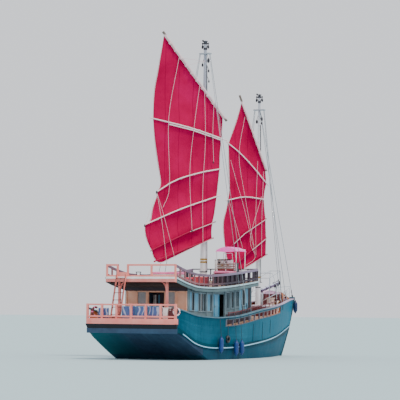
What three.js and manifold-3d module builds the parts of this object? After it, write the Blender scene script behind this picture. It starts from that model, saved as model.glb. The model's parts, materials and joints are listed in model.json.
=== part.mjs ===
// A junk-rigged passenger ship of two masts, afloat, with its sails swung out to port.
// Millimetres, +Z up, +X towards the bow, +Y to port. The pieces are placed by their distance from the
// stern, and the last group moves the whole ship so that the origin is amidships at the waterline.
import * as THREE from "three";
import { mergeVertices } from "three/addons/utils/BufferGeometryUtils.js";
import Module from "manifold-3d";

const wasm = await Module();
wasm.setup();

// Driving dimensions

const MIDSHIPS = 10500; // from the stern
const GAP = 0.3; // between pieces that touch
const HULL_START = 250;
const HULL_END = 20600;
const BULWARK_HEIGHT = 600;
const BULWARK_THICK = 80;
const CAP_THICK = 60;
const CAP_OVERHANG = 50;
const CAP_WIDTH = 200;
const WALE_HEIGHT = 270;
const WALE_THICK = 60;
const KEEL_THICK = 180;
const KEEL_FOOT = -1620;

const CABIN = { aft: 3000, front: 11000, halfWidth: 1900, wall: 60 };
const ROOF = { aft: 1100, front: 11500, halfWidth: 2200, thick: 120, corner: 100 };
const RAIL = { height: 700, width: 90, thick: 80, post: 80, foot: 150, sideBays: 18 };

const MAIN_MAST = { at: 8700, foot: 225, head: 80, top: 18100, trees: 17400 };
const FORE_MAST = { at: 15900, foot: 170, head: 65, top: 15600, trees: 14700 };
const SAIL_SWING = 35; // degrees, out to port
const SAIL_OFFSET = 342; // from the mast's axis to the cloth
const CLOTH = 16;
const SHROUD = 14;

const SHIP = new THREE.Group();

// The ship's lines: distance from the stern, half breadth and height of the cap rail, half breadth and
// height of the wale's lower edge, height of the underside on the centreline, fullness of the section
const LINES = [
  [0, 2750, 2860, 2690, 1620, 1570, 30],
  [1000, 2830, 2690, 2780, 1270, 1130, 30],
  [2000, 2900, 2480, 2840, 870, 690, 30],
  [2900, 2950, 2400, 2890, 680, 295, 30],
  [3600, 2985, 2375, 2915, 610, -12, 22],
  [4500, 3010, 2345, 2930, 575, -410, 9],
  [6500, 3040, 2400, 2950, 580, -760, 3.6],
  [8500, 2910, 2560, 2820, 650, -1000, 2.9],
  [10500, 2690, 2760, 2590, 745, -1100, 2.6],
  [12500, 2360, 2895, 2230, 850, -1110, 2.3],
  [14500, 1930, 3035, 1770, 990, -1050, 2],
  [16500, 1405, 3190, 1190, 1160, -830, 1.7],
  [18000, 950, 3320, 700, 1310, -430, 1.45],
  [19000, 650, 3400, 400, 1430, 10, 1.3],
  [19500, 500, 3430, 220, 1490, 680, 1.3],
  [20000, 350, 3450, 100, 1560, 1400, 1.3],
  [20600, 150, 3470, 60, 2700, 2620, 1.3],
].map(([a, capB, capZ, waleB, waleZ, keelZ, full]) => ({ a, capB, capZ, waleB, waleZ, keelZ, full }));

// Edge of the upper deck: distance from the stern and height of its top
const ROOF_LINE = [
  [1100, 4520],
  [2500, 4220],
  [4000, 4030],
  [5400, 4010],
  [7000, 4070],
  [9000, 4210],
  [11500, 4440],
].map(([a, top]) => ({ a, top }));

// A smooth curve through one column of a table, which never swings past its points
function along(table, column, a) {
  const last = table.length - 1;
  const at = Math.min(Math.max(a, table[0].a), table[last].a);
  let i = 0;
  while (i < last - 1 && table[i + 1].a < at) i += 1;
  const rise = (k) => (table[k + 1][column] - table[k][column]) / (table[k + 1].a - table[k].a);
  const slope = (k) => {
    if (k === 0) return rise(0);
    if (k === last) return rise(last - 1);
    const [before, after] = [rise(k - 1), rise(k)];
    return before * after <= 0 ? 0 : (2 * before * after) / (before + after);
  };
  const width = table[i + 1].a - table[i].a;
  const t = (at - table[i].a) / width;
  const start = table[i][column] * (1 + 2 * t) * (1 - t) ** 2 + slope(i) * width * t * (1 - t) ** 2;
  const end = table[i + 1][column] * (3 - 2 * t) * t ** 2 - slope(i + 1) * width * (1 - t) * t ** 2;
  return start + end;
}

const deckZ = (a) => along(LINES, "capZ", a) - BULWARK_HEIGHT;
const roofZ = (a) => along(ROOF_LINE, "top", a);

// Half breadth of the flat upper side at a height, between the wale's lower edge and the cap rail
function sideB(a, z) {
  const [waleB, waleZ] = [along(LINES, "waleB", a), along(LINES, "waleZ", a)];
  const [capB, capZ] = [along(LINES, "capB", a), along(LINES, "capZ", a)];
  return waleB + ((capB - waleB) * (z - waleZ)) / (capZ - waleZ);
}

function steps(from, to, count) {
  return Array.from({ length: count + 1 }, (_, i) => from + ((to - from) * i) / count);
}

// Solids

function solidOf(geometry) {
  const bare = geometry.clone();
  bare.deleteAttribute("normal");
  bare.deleteAttribute("uv");
  const merged = mergeVertices(bare, 1e-2);
  const corners = [];
  for (let i = 0; i < merged.index.count; i += 3) {
    const [p, q, r] = merged.index.array.slice(i, i + 3);
    if (p !== q && q !== r && r !== p) corners.push(p, q, r);
  }
  const vertProperties = new Float32Array(merged.attributes.position.array);
  return new wasm.Manifold(new wasm.Mesh({ numProp: 3, vertProperties, triVerts: new Uint32Array(corners) }));
}

function geometryOf(solid) {
  const mesh = solid.getMesh();
  const geometry = new THREE.BufferGeometry();
  geometry.setAttribute("position", new THREE.BufferAttribute(new Float32Array(mesh.vertProperties), 3));
  geometry.setIndex(new THREE.BufferAttribute(new Uint32Array(mesh.triVerts), 1));
  return geometry;
}

const join = (...pieces) => geometryOf(pieces.map(solidOf).reduce((a, b) => a.add(b)));
const cut = (piece, ...tools) => geometryOf(tools.map(solidOf).reduce((a, b) => a.subtract(b), solidOf(piece)));
const common = (a, b) => geometryOf(solidOf(a).intersect(solidOf(b)));

const moved = (piece, x, y, z) => piece.clone().translate(x, y, z);

// Cut away what another piece fills, and leave the gap of touching pieces on every side of it
function seated(piece, other) {
  const shifts = [[GAP, 0, 0], [-GAP, 0, 0], [0, GAP, 0], [0, -GAP, 0], [0, 0, GAP], [0, 0, -GAP]];
  return cut(piece, ...shifts.map((shift) => moved(other, ...shift)));
}

// Turn every face of a geometry round
function turned(geometry) {
  const index = geometry.index.array;
  for (let i = 0; i < index.length; i += 3) [index[i], index[i + 1]] = [index[i + 1], index[i]];
  return geometry;
}

// The same piece on the other side of the ship
function mirrored(piece) {
  const copy = geometryOf(solidOf(piece));
  copy.scale(1, -1, 1);
  return turned(copy);
}

function block([x0, x1], [y0, y1], [z0, z1]) {
  const box = new THREE.BoxGeometry(x1 - x0, y1 - y0, z1 - z0);
  return box.translate((x0 + x1) / 2, (y0 + y1) / 2, (z0 + z1) / 2);
}

// A squared bar between two points, its height kept upright
function bar(from, to, width, height) {
  const [p, q] = [new THREE.Vector3(...from), new THREE.Vector3(...to)];
  const run = q.clone().sub(p);
  const ahead = run.clone().normalize();
  const up = Math.abs(ahead.z) > 0.9 ? new THREE.Vector3(1, 0, 0) : new THREE.Vector3(0, 0, 1);
  const aside = up.cross(ahead).normalize();
  const basis = new THREE.Matrix4().makeBasis(ahead, aside, ahead.clone().cross(aside));
  const box = new THREE.BoxGeometry(run.length(), width, height).applyMatrix4(basis);
  return box.translate((p.x + q.x) / 2, (p.y + q.y) / 2, (p.z + q.z) / 2);
}

// A round rod between two points
function rod(from, to, radius, { tip = radius, sides = 12 } = {}) {
  const [p, q] = [new THREE.Vector3(...from), new THREE.Vector3(...to)];
  const run = q.clone().sub(p);
  const turn = new THREE.Quaternion().setFromUnitVectors(new THREE.Vector3(0, 1, 0), run.clone().normalize());
  const cylinder = new THREE.CylinderGeometry(tip, radius, run.length(), sides).applyQuaternion(turn);
  return cylinder.translate((p.x + q.x) / 2, (p.y + q.y) / 2, (p.z + q.z) / 2);
}

// A round bent rod through points
function bentRod(points, radius) {
  const ring = new THREE.Shape();
  ring.absarc(0, 0, radius, 0, 2 * Math.PI);
  const extrudePath = new THREE.CatmullRomCurve3(points.map((p) => new THREE.Vector3(...p)));
  return new THREE.ExtrudeGeometry(ring, { steps: 8, curveSegments: 4, extrudePath });
}

// A round body turned about the vertical through the origin, from a profile of radius and height
function turnedBody(profile, sides = 24) {
  const points = profile.map(([radius, z]) => new THREE.Vector2(radius, z));
  return new THREE.LatheGeometry(points, sides).rotateX(Math.PI / 2);
}

// A plate: an outline in side view, of distance from the stern and height, between two breadths
function sidePlate(outline, [y0, y1]) {
  const shape = new THREE.Shape(outline.map(([x, z]) => new THREE.Vector2(x, z)));
  const plate = new THREE.ExtrudeGeometry(shape, { depth: y1 - y0, bevelEnabled: false });
  return plate.rotateX(Math.PI / 2).translate(0, y1, 0);
}

// A plate: an outline in plan between two heights
function floorPlate(outline, [z0, z1]) {
  const shape = new THREE.Shape(outline.map(([x, y]) => new THREE.Vector2(x, y)));
  return new THREE.ExtrudeGeometry(shape, { depth: z1 - z0, bevelEnabled: false }).translate(0, 0, z0);
}

// A skin over like sections, each a loop of breadth and height at a distance from the stern
function loft(sections) {
  const flat = (loop) => loop.map(([y, z]) => new THREE.Vector2(y, z));
  const clockwise = THREE.ShapeUtils.isClockWise(flat(sections[0].loop));
  const loops = sections.map(({ loop }) => (clockwise ? [...loop].reverse() : loop));
  const size = loops[0].length;
  const last = sections.length - 1;
  const corners = [];
  for (let s = 0; s < last; s += 1) {
    for (let i = 0; i < size; i += 1) {
      const [p, q] = [s * size + i, s * size + ((i + 1) % size)];
      corners.push(p, q, q + size, p, q + size, p + size);
    }
  }
  const capOf = (loop) => THREE.ShapeUtils.triangulateShape(flat(loop), []);
  capOf(loops[0]).forEach(([p, q, r]) => corners.push(r, q, p));
  capOf(loops[last]).forEach((face) => corners.push(...face.map((p) => last * size + p)));
  const points = loops.flatMap((loop, s) => loop.flatMap(([y, z]) => [sections[s].a, y, z]));
  const geometry = new THREE.BufferGeometry();
  geometry.setAttribute("position", new THREE.BufferAttribute(new Float32Array(points), 3));
  geometry.setIndex(corners);
  return geometry;
}

// Materials

const finish = (color, roughness, metalness = 0) => new THREE.MeshStandardMaterial({ color, roughness, metalness });
const TEAL = finish("#2a7d86", 0.45);
const TEAL_DARK = finish("#1f6068", 0.45);
const CAP_GREY = finish("#9fb0b4", 0.6);
const SALMON = finish("#f2a79e", 0.6);
const CABIN_GREY = finish("#9db5b8", 0.6);
const DOOR_BLUE = finish("#7fb0c0", 0.6);
const TAN = finish("#c99a7e", 0.6);
const CREAM = finish("#fbefe6", 0.6);
const WEATHERED = finish("#7c6a72", 0.8);
const MAST_WHITE = finish("#f2efec", 0.4);
const CRIMSON = finish("#be1450", 0.9);
const BATTEN_PINK = finish("#f4c8d4", 0.6);
const YARD_BROWN = finish("#8a7a70", 0.7);
const STEEL = finish("#b8bcc0", 0.3, 1);
const BRONZE = finish("#a5793f", 0.35, 1);
const CANVAS_PINK = finish("#f7a8d0", 0.9);
const CORAL = finish("#e0505a", 0.9);
const CUSHION_PINK = finish("#f08cb8", 0.9);
const LILAC = finish("#e8dcec", 0.9);
const FENDER_BLUE = finish("#1e4ea0", 0.5);
const WHITE = finish("#f4f4f2", 0.5);
const DARK = finish("#3a3436", 0.7);

function add(name, geometry, material, parent = SHIP) {
  const mesh = new THREE.Mesh(geometry, material);
  mesh.name = name;
  parent.add(mesh);
  return mesh;
}

// Hull

const HULL_STATIONS = [
  HULL_START, 700, 1300, 2000, 2900, 3600, 4500,
  ...steps(5500, 17500, 12), 18000, 18500, 19000, 19500, 20000, 20300, HULL_END,
];
const BILGE_POINTS = 9;

function hullSection(a) {
  const [waleB, waleZ] = [along(LINES, "waleB", a), along(LINES, "waleZ", a)];
  const [keelZ, full] = [along(LINES, "keelZ", a), along(LINES, "full", a)];
  const half = steps(0, Math.PI / 2, BILGE_POINTS).map((turn) => [
    waleB * Math.sin(turn) ** (2 / full),
    waleZ - (waleZ - keelZ) * Math.max(Math.cos(turn), 0) ** (2 / full),
  ]);
  half[0][0] = 0;
  half[BILGE_POINTS] = [waleB, waleZ];
  half.push([sideB(a, deckZ(a)), deckZ(a)]);
  const starboard = half.slice(1).map(([y, z]) => [-y, z]);
  return { a, loop: [...half.reverse(), ...starboard] };
}

// Side view of the keel, its heel under the rudder, and the stem, with the edge inside the hull first
const BACKBONE = [
  [5400, -1500], [5400, -200], [16000, -200], [18300, 300], [19250, 900], [20350, 2900], [20450, 3560],
  [21000, 3560], [20940, 3300], [20600, 2520], [20120, 1520], [19450, 480], [19080, -40], [18500, -560],
  [17600, -1020], [16400, -1370], [15000, -1560], [13800, KEEL_FOOT], [3450, KEEL_FOOT], [3450, -1500],
];

// The flat foot of the rudder's trunk, which its stock turns under
const TRUNK = { at: 4150, half: 75, foot: -490, head: 0 };

const hull = join(
  loft(HULL_STATIONS.map(hullSection)),
  sidePlate(BACKBONE, [-KEEL_THICK / 2, KEEL_THICK / 2]),
  block([TRUNK.at - TRUNK.half, TRUNK.at + TRUNK.half], [-TRUNK.half, TRUNK.half], [TRUNK.foot, TRUNK.head]),
);
add("hull", hull, TEAL);

// Wale and bulwarks

function waleSection(a) {
  const foot = along(LINES, "waleZ", a);
  const top = foot + WALE_HEIGHT;
  const [footB, topB] = [sideB(a, foot), sideB(a, top)];
  return {
    a,
    loop: [[footB - 40, foot], [footB + WALE_THICK, foot], [topB + WALE_THICK, top], [topB - 40, top]],
  };
}

const BAND = { aft: 190, halfWidth: 2790, foot: 1440, top: 1700 };
const waleStations = [BAND.aft, ...HULL_STATIONS.filter((a) => a <= 20000)];
const waleSide = loft(waleStations.map(waleSection));
const waleStern = block([BAND.aft, HULL_START - GAP], [-BAND.halfWidth, BAND.halfWidth], [BAND.foot, BAND.top]);
add("wale", seated(join(waleSide, mirrored(waleSide), waleStern), hull), TEAL_DARK);

function capSection(a) {
  const top = along(LINES, "capZ", a);
  const outer = along(LINES, "capB", a) + CAP_OVERHANG;
  const inner = Math.max(outer - CAP_WIDTH, 0);
  return { a, loop: [[inner, top - CAP_THICK + GAP], [outer, top - CAP_THICK + GAP], [outer, top], [inner, top]] };
}

const capSide = loft(HULL_STATIONS.map(capSection));
const breastHook = floorPlate([[19500, 0], [20100, -300], [20440, -160], [20440, 160], [20100, 300]], [3396, 3450]);
const capRail = seated(join(capSide, mirrored(capSide), breastHook), hull);
add("cap_rail", capRail, CAP_GREY);

function bulwarkSection(a) {
  const [foot, top] = [deckZ(a) + GAP, along(LINES, "capZ", a) - CAP_THICK];
  const [footB, topB] = [sideB(a, foot), sideB(a, top)];
  return {
    a,
    loop: [[footB - BULWARK_THICK, foot], [footB, foot], [topB, top], [topB - BULWARK_THICK, top]],
  };
}

const SLOTS = { start: 5600, end: 15600, count: 12, post: 90, foot: 100, top: 110 };

// The row of openings between the bulwark's posts, which follows the sheer
function bulwarkSlots() {
  const pitch = (SLOTS.end - SLOTS.start) / SLOTS.count;
  return steps(0, SLOTS.count - 1, SLOTS.count - 1).map((i) => {
    const [aft, fore] = [SLOTS.start + i * pitch + SLOTS.post, SLOTS.start + (i + 1) * pitch];
    const foot = (a) => deckZ(a) + SLOTS.foot;
    const top = (a) => along(LINES, "capZ", a) - CAP_THICK - SLOTS.top;
    return sidePlate([[aft, foot(aft)], [fore, foot(fore)], [fore, top(fore)], [aft, top(aft)]], [1000, 3200]);
  });
}

const bulwark = cut(loft(HULL_STATIONS.map(bulwarkSection)), ...bulwarkSlots());
const bulwarkPort = seated(seated(bulwark, hull), capRail);
add("bulwark_port", bulwarkPort, TEAL);
add("bulwark_starboard", mirrored(bulwarkPort), TEAL);

// Stern platform and its rail

const PLATFORM = { depth: HULL_START - GAP, halfWidth: 2800, foot: 1940, top: 2240, end: 120 };
const platformPlan = [
  [PLATFORM.depth, -PLATFORM.halfWidth], [PLATFORM.depth, PLATFORM.halfWidth],
  [PLATFORM.end, PLATFORM.halfWidth], [0, PLATFORM.halfWidth - PLATFORM.end],
  [0, PLATFORM.end - PLATFORM.halfWidth], [PLATFORM.end, -PLATFORM.halfWidth],
];
add("stern_platform", seated(floorPlate(platformPlan, [PLATFORM.foot, PLATFORM.top]), hull), SALMON);

const STERN_RAIL = { at: 110, halfWidth: 2700, bays: 6, top: 3040, mid: 2310, thick: 110 };
const sternRailBars = [STERN_RAIL.top - 50, STERN_RAIL.mid + 40].map((z) =>
  bar([STERN_RAIL.at, -STERN_RAIL.halfWidth, z], [STERN_RAIL.at, STERN_RAIL.halfWidth, z], 100, 90),
);
const sternRailPosts = steps(-STERN_RAIL.halfWidth, STERN_RAIL.halfWidth, STERN_RAIL.bays).map((y) =>
  block([STERN_RAIL.at - 55, STERN_RAIL.at + 55], [y - 55, y + 55], [PLATFORM.top + GAP, STERN_RAIL.top]),
);
add("stern_rail", join(...sternRailBars, ...sternRailPosts), SALMON);

const STERN_SEAT = { back: 340, front: 800, y0: -1720, y1: 720, seat: 2620, top: 2900 };
add(
  "stern_seat",
  seated(
    join(
      block([STERN_SEAT.back, STERN_SEAT.front], [STERN_SEAT.y0, STERN_SEAT.y1], [1500, STERN_SEAT.seat]),
      block([STERN_SEAT.back, STERN_SEAT.back + 40], [STERN_SEAT.y0, STERN_SEAT.y1], [1500, STERN_SEAT.top]),
    ),
    hull,
  ),
  DOOR_BLUE,
);

// Upper deck

const ROOF_STATIONS = steps(ROOF.aft, ROOF.front, 13);
const roofProfile = [
  ...ROOF_STATIONS.map((a) => [a, roofZ(a)]),
  ...ROOF_STATIONS.map((a) => [a, roofZ(a) - ROOF.thick]).reverse(),
];
const belowRoof = sidePlate(
  [...ROOF_STATIONS.map((a) => [a, roofZ(a) - ROOF.thick - GAP]), [ROOF.front, 1000], [ROOF.aft, 1000]],
  [-ROOF.halfWidth, ROOF.halfWidth],
);
// The outline of the upper deck, drawn in from its edge by an inset
function roofPlan(inset) {
  const [half, aft, front] = [ROOF.halfWidth - inset, ROOF.aft + inset, ROOF.front - inset];
  const { corner } = ROOF;
  const outline = [
    [aft + corner, -half], [front - corner, -half], [front, corner - half], [front, half - corner],
    [front - corner, half], [aft + corner, half], [aft, half - corner], [aft, corner - half],
  ];
  return floorPlate(outline, [3000, 5000]);
}
// The boards that hang round the deck's edge
const FASCIA = { thick: 40, depth: 290 };
const fasciaProfile = [
  ...ROOF_STATIONS.map((a) => [a, roofZ(a) - 10]),
  ...ROOF_STATIONS.map((a) => [a, roofZ(a) - FASCIA.depth]).reverse(),
];
const acrossRoof = [-ROOF.halfWidth, ROOF.halfWidth];
const fascia = common(sidePlate(fasciaProfile, acrossRoof), cut(roofPlan(0), roofPlan(FASCIA.thick)));
const mastBore = rod([MAIN_MAST.at, 0, 3000], [MAIN_MAST.at, 0, 5000], 225, { sides: 32 });
const roofBoards = common(sidePlate(roofProfile, acrossRoof), roofPlan(0));
const roof = cut(join(roofBoards, fascia), mastBore);
add("upper_deck", roof, CREAM);

// Cabin walls

const DOOR_HEAD = 3620;
const SIDE_DOOR = { aft: 6850, width: 720 };
// Windows of the side walls: distance of their aft edge from the stern, and width
const SIDE_WINDOWS = [
  [3250, 600], [4350, 900], [5400, 600], [7800, 420], [8350, 420], [9000, 420], [9850, 340],
];
const WINDOW = { foot: 900, top: 260 };
const windowRise = (a) => [deckZ(a) + WINDOW.foot, roofZ(a) - ROOF.thick - WINDOW.top];

const fitted = (wall) => seated(common(wall, belowRoof), hull);

function sideWall() {
  const [outer, inner] = [CABIN.halfWidth, CABIN.halfWidth - CABIN.wall];
  const wall = block([CABIN.aft, CABIN.front], [inner, outer], [1500, 5000]);
  const windows = SIDE_WINDOWS.map(([a, width]) =>
    block([a, a + width], [inner - 50, outer + 50], windowRise(a)),
  );
  const { aft, width } = SIDE_DOOR;
  const doorway = block([aft, aft + width], [inner - 50, outer + 50], [deckZ(aft) + 60, DOOR_HEAD]);
  return fitted(cut(wall, ...windows, doorway));
}

const portWall = sideWall();
add("cabin_wall_port", portWall, CABIN_GREY);
add("cabin_wall_starboard", mirrored(portWall), CABIN_GREY);

const END_WALL_HALF = CABIN.halfWidth - CABIN.wall - GAP;
const AFT_DOORWAY = { halfWidth: 480, sill: 60 };
// The window on each side of an end wall: breadth of its inner edge from the centreline, and width
const END_WINDOW = { inner: 620, width: 560 };

function endWall(aft, doorway) {
  const wall = block([aft, aft + CABIN.wall], [-END_WALL_HALF, END_WALL_HALF], [1500, 5000]);
  const [inner, outer] = [END_WINDOW.inner, END_WINDOW.inner + END_WINDOW.width];
  const windows = [[inner, outer], [-outer, -inner]].map((span) =>
    block([aft - 50, aft + 110], span, windowRise(aft)),
  );
  return fitted(cut(wall, ...windows, ...doorway));
}

const aftDoorway = block(
  [CABIN.aft - 50, CABIN.aft + 110],
  [-AFT_DOORWAY.halfWidth, AFT_DOORWAY.halfWidth],
  [deckZ(CABIN.aft) + AFT_DOORWAY.sill, DOOR_HEAD + 60],
);
add("cabin_wall_aft", endWall(CABIN.aft, [aftDoorway]), TAN);
add("cabin_wall_front", endWall(CABIN.front - CABIN.wall, []), CABIN_GREY);

// Doors, each in a group at its hinge, turned to stand open

function hinged(x, y, z, degrees) {
  const group = new THREE.Group();
  group.position.set(x, y, z);
  group.rotation.z = THREE.MathUtils.degToRad(degrees);
  SHIP.add(group);
  return group;
}

const LEAF = 36;
const AFT_LEAF = { width: 470, foot: deckZ(CABIN.aft) + 75, top: DOOR_HEAD + 50, pin: 7.7 };
const SIDE_LEAF = { width: 700, foot: deckZ(SIDE_DOOR.aft) + 90, top: DOOR_HEAD - 12, pin: 11 };

// A leaf that reaches out along X from its hinge, with the pin along its edge
function doorLeaf(reachX, height, pinRadius) {
  const leaf = block([Math.min(reachX, 0), Math.max(reachX, 0)], [0, LEAF], [0, height]);
  return join(leaf, rod([0, 0, 0], [0, 0, height], pinRadius));
}

for (const [side, name] of [[1, "port"], [-1, "starboard"]]) {
  const handed = (leaf) => (side > 0 ? leaf : mirrored(leaf));
  const inside = hinged(CABIN.aft + CABIN.wall + 8, side * (AFT_DOORWAY.halfWidth - 1), AFT_LEAF.foot, 0);
  const aftLeaf = doorLeaf(AFT_LEAF.width, AFT_LEAF.top - AFT_LEAF.foot, AFT_LEAF.pin);
  add(`aft_door_${name}`, handed(aftLeaf), DOOR_BLUE, inside);
  const outboard = hinged(SIDE_DOOR.aft + 8, side * (CABIN.halfWidth + 8), SIDE_LEAF.foot, 0);
  const sideLeaf = doorLeaf(-SIDE_LEAF.width, SIDE_LEAF.top - SIDE_LEAF.foot, SIDE_LEAF.pin);
  add(`side_door_${name}`, handed(sideLeaf), DOOR_BLUE, outboard);
}

// Rail round the upper deck, open at the head of the ladder

const RAIL_INSET = 90;
const LADDER_GAP = [810, 1440];
const railB = ROOF.halfWidth - RAIL_INSET;
const railEnds = [ROOF.aft + RAIL_INSET, ROOF.front - RAIL_INSET];

const railRises = [RAIL.height - RAIL.thick / 2, RAIL.foot];
const railPost = (a, y) => {
  const half = RAIL.post / 2;
  return block([a - half, a + half], [y - half, y + half], [roofZ(a) - 60, roofZ(a) + RAIL.height]);
};

function sideRail() {
  const stations = steps(...railEnds, RAIL.sideBays / 2);
  const rails = railRises.flatMap((rise) =>
    stations.slice(1).map((a, i) => {
      const ends = [stations[i] - 5, a + 5].map((at) => [at, railB, roofZ(at) + rise]);
      return bar(...ends, RAIL.width, RAIL.thick);
    }),
  );
  return [...rails, ...steps(...railEnds, RAIL.sideBays).map((a) => railPost(a, railB))];
}

function crossRail(a, from, to, bays) {
  const rails = railRises.map((rise) => {
    const z = roofZ(a) + rise;
    return bar([a, from, z], [a, to, z], RAIL.width, RAIL.thick);
  });
  return [...rails, ...steps(from, to, bays).map((y) => railPost(a, y))];
}

const upperRail = join(
  ...sideRail(),
  ...sideRail().map(mirrored),
  ...crossRail(railEnds[0], -railB, LADDER_GAP[0], 2),
  ...crossRail(railEnds[0], LADDER_GAP[1], railB, 1),
  ...crossRail(railEnds[1], -railB, railB, 6),
);
add("upper_rail", seated(upperRail, roof), WEATHERED);

// Pillars under the overhang of the upper deck

const PILLAR = { aft: 1400, width: 130, y: 1470 };
for (const [side, name] of [[1, "port"], [-1, "starboard"]]) {
  const [inner, outer] = [-1, 1].map((edge) => side * PILLAR.y + (edge * PILLAR.width) / 2);
  const pillar = block([PILLAR.aft, PILLAR.aft + PILLAR.width], [inner, outer], [1500, 5000]);
  add(`pillar_${name}`, fitted(pillar), SALMON);
}

// Ladder from the stern to the upper deck

const LADDER = { foot: 330, head: 1030, top: 4620, width: 560, treads: 6 };
function ladder() {
  const y = (LADDER_GAP[0] + LADDER_GAP[1]) / 2;
  const footZ = deckZ(LADDER.foot) - 100;
  const along01 = (t) => [LADDER.foot + t * (LADDER.head - LADDER.foot), footZ + t * (LADDER.top - footZ)];
  const stiles = [-1, 1].map((side) => {
    const at = y + (side * LADDER.width) / 2;
    return bar([LADDER.foot, at, footZ], [LADDER.head, at, LADDER.top], 50, 100);
  });
  const treads = steps(0.14, 0.92, LADDER.treads - 1).map((t) => {
    const [x, z] = along01(t);
    return block([x - 60, x + 60], [y - LADDER.width / 2, y + LADDER.width / 2], [z - 18, z + 18]);
  });
  return seated(seated(join(...stiles, ...treads), hull), roof);
}
add("ladder", ladder(), SALMON);

// Helm on the upper deck, under its canopy

const HELM = { wheelAt: 10030, y: -525, wheelZ: 5320, half: 525, top: 5620 };
const CANOPY = { aft: 9270, front: 10500, y0: -1810, y1: -490, z: 6300 };
const underRoofTop = sidePlate(
  [...ROOF_STATIONS.map((a) => [a, roofZ(a) + GAP]), [ROOF.front, 1000], [ROOF.aft, 1000]],
  [-ROOF.halfWidth, ROOF.halfWidth],
);
const onRoof = (piece) => cut(piece, underRoofTop);

const console = block([10100, 10420], [HELM.y - HELM.half, HELM.y + HELM.half], [4000, HELM.top]);
add("helm_console", onRoof(console), WHITE);

function helmWheel() {
  const radius = 330;
  const rim = new THREE.TorusGeometry(radius, 18, 6, 18).rotateY(Math.PI / 2);
  const spokes = steps(0, 5, 5).map((i) => {
    const turn = (i * Math.PI) / 3;
    const end = [0, (radius + 90) * Math.cos(turn), (radius + 90) * Math.sin(turn)];
    return rod([0, 0, 0], end, 12, { sides: 6 });
  });
  const hub = rod([-30, 0, 0], [70 - GAP, 0, 0], 50, { sides: 16 });
  return join(rim, hub, ...spokes);
}
const wheelGroup = hinged(HELM.wheelAt, HELM.y, HELM.wheelZ, 0);
add("helm_wheel", helmWheel(), YARD_BROWN, wheelGroup);

// The helm's bench, with its back and the end that one leans on
const HELM_SEAT = { aft: 9350, front: 9780, y0: -1650, y1: -370, top: 5000, end: 80, endTop: 5480 };
const HELM_BACK = { front: 9400, y1: -520, top: 5460 };
const seatSpan = [HELM_SEAT.aft, HELM_SEAT.front];
add(
  "helm_seat",
  onRoof(
    join(
      block(seatSpan, [HELM_SEAT.y0, HELM_SEAT.y1], [4000, HELM_SEAT.top]),
      block(seatSpan, [HELM_SEAT.y0 - HELM_SEAT.end, HELM_SEAT.y0], [4600, HELM_SEAT.endTop]),
      block([HELM_SEAT.aft, HELM_BACK.front], [HELM_SEAT.y0, HELM_BACK.y1], [4900, HELM_BACK.top]),
    ),
  ),
  DARK,
);

const canopyPosts = [CANOPY.aft + 40, CANOPY.front - 40].flatMap((a) =>
  [CANOPY.y0 + 40, CANOPY.y1 - 40].map((y) => rod([a, y, 4000], [a, y, CANOPY.z - 80], 24)),
);
const canopyFrame = [CANOPY.aft + 40, CANOPY.front - 40]
  .map((a) => bar([a, CANOPY.y0 + 40, CANOPY.z - 100], [a, CANOPY.y1 - 40, CANOPY.z - 100], 30, 30))
  .concat(
    [CANOPY.y0 + 40, CANOPY.y1 - 40].map((y) =>
      bar([CANOPY.aft + 40, y, CANOPY.z - 100], [CANOPY.front - 40, y, CANOPY.z - 100], 30, 30),
    ),
  );
add("canopy_frame", onRoof(join(...canopyPosts, ...canopyFrame)), MAST_WHITE);
const canopyFoot = CANOPY.z - 80 + GAP;
const canopyTop = loft([
  [CANOPY.aft, 20], [CANOPY.aft + 300, 60], [CANOPY.front - 300, 60], [CANOPY.front, 20],
].map(([a, rise]) => ({
  a,
  loop: [
    [CANOPY.y0, canopyFoot], [CANOPY.y1, canopyFoot], [CANOPY.y1, canopyFoot + rise],
    [(CANOPY.y0 + CANOPY.y1) / 2, canopyFoot + rise + 60], [CANOPY.y0, canopyFoot + rise],
  ],
})));
add("canopy", canopyTop, CANVAS_PINK);

// Seats on the upper deck

const BENCH = { aft: 3700, front: 5500, y0: -1840, y1: -1340, seat: 380, pad: 110, back: 140, backTop: 600 };
const SUN_BOX = { aft: 8080, front: 9240, y0: -1920, y1: -880, top: 600, pad: 150 };
const benchTop = roofZ(4550) + BENCH.seat;
add("bench", onRoof(block([BENCH.aft, BENCH.front], [BENCH.y0, BENCH.y1], [3700, benchTop])), WEATHERED);
const seatPad = block([BENCH.aft, BENCH.front], [BENCH.y0, BENCH.y1], [benchTop + GAP, benchTop + BENCH.pad]);
const backPad = block(
  [BENCH.aft, BENCH.front],
  [BENCH.y0 - BENCH.back, BENCH.y0 - GAP],
  [roofZ(BENCH.aft) + 20, roofZ(4550) + BENCH.backTop],
);
const padLink = block([BENCH.aft, BENCH.front], [BENCH.y0 - 20, BENCH.y0 + 20], [benchTop + 20, benchTop + 90]);
add("bench_cushion", onRoof(join(seatPad, backPad, padLink)), CORAL);
const sunTop = roofZ(8700) + SUN_BOX.top;
add("sun_box", onRoof(block([SUN_BOX.aft, SUN_BOX.front], [SUN_BOX.y0, SUN_BOX.y1], [3700, sunTop])), WEATHERED);
add(
  "sun_cushion",
  block([SUN_BOX.aft, SUN_BOX.front], [SUN_BOX.y0, SUN_BOX.y1], [sunTop + GAP, sunTop + SUN_BOX.pad]),
  CUSHION_PINK,
);

// Masts

function mast({ at, foot, head, top }, name) {
  const deck = deckZ(at) - 100;
  const body = turnedBody([[0, deck], [foot, deck], [head, top], [0, top]], 32).translate(at, 0, 0);
  return add(name, seated(body, hull), MAST_WHITE);
}

const mastRadius = ({ at, foot, head, top }, z) => {
  const deck = deckZ(at) - 100;
  return foot + ((head - foot) * (z - deck)) / (top - deck);
};

mast(MAIN_MAST, "main_mast");
mast(FORE_MAST, "fore_mast");

// Crosstrees with the shrouds that they spread, and the stays to the bow

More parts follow.
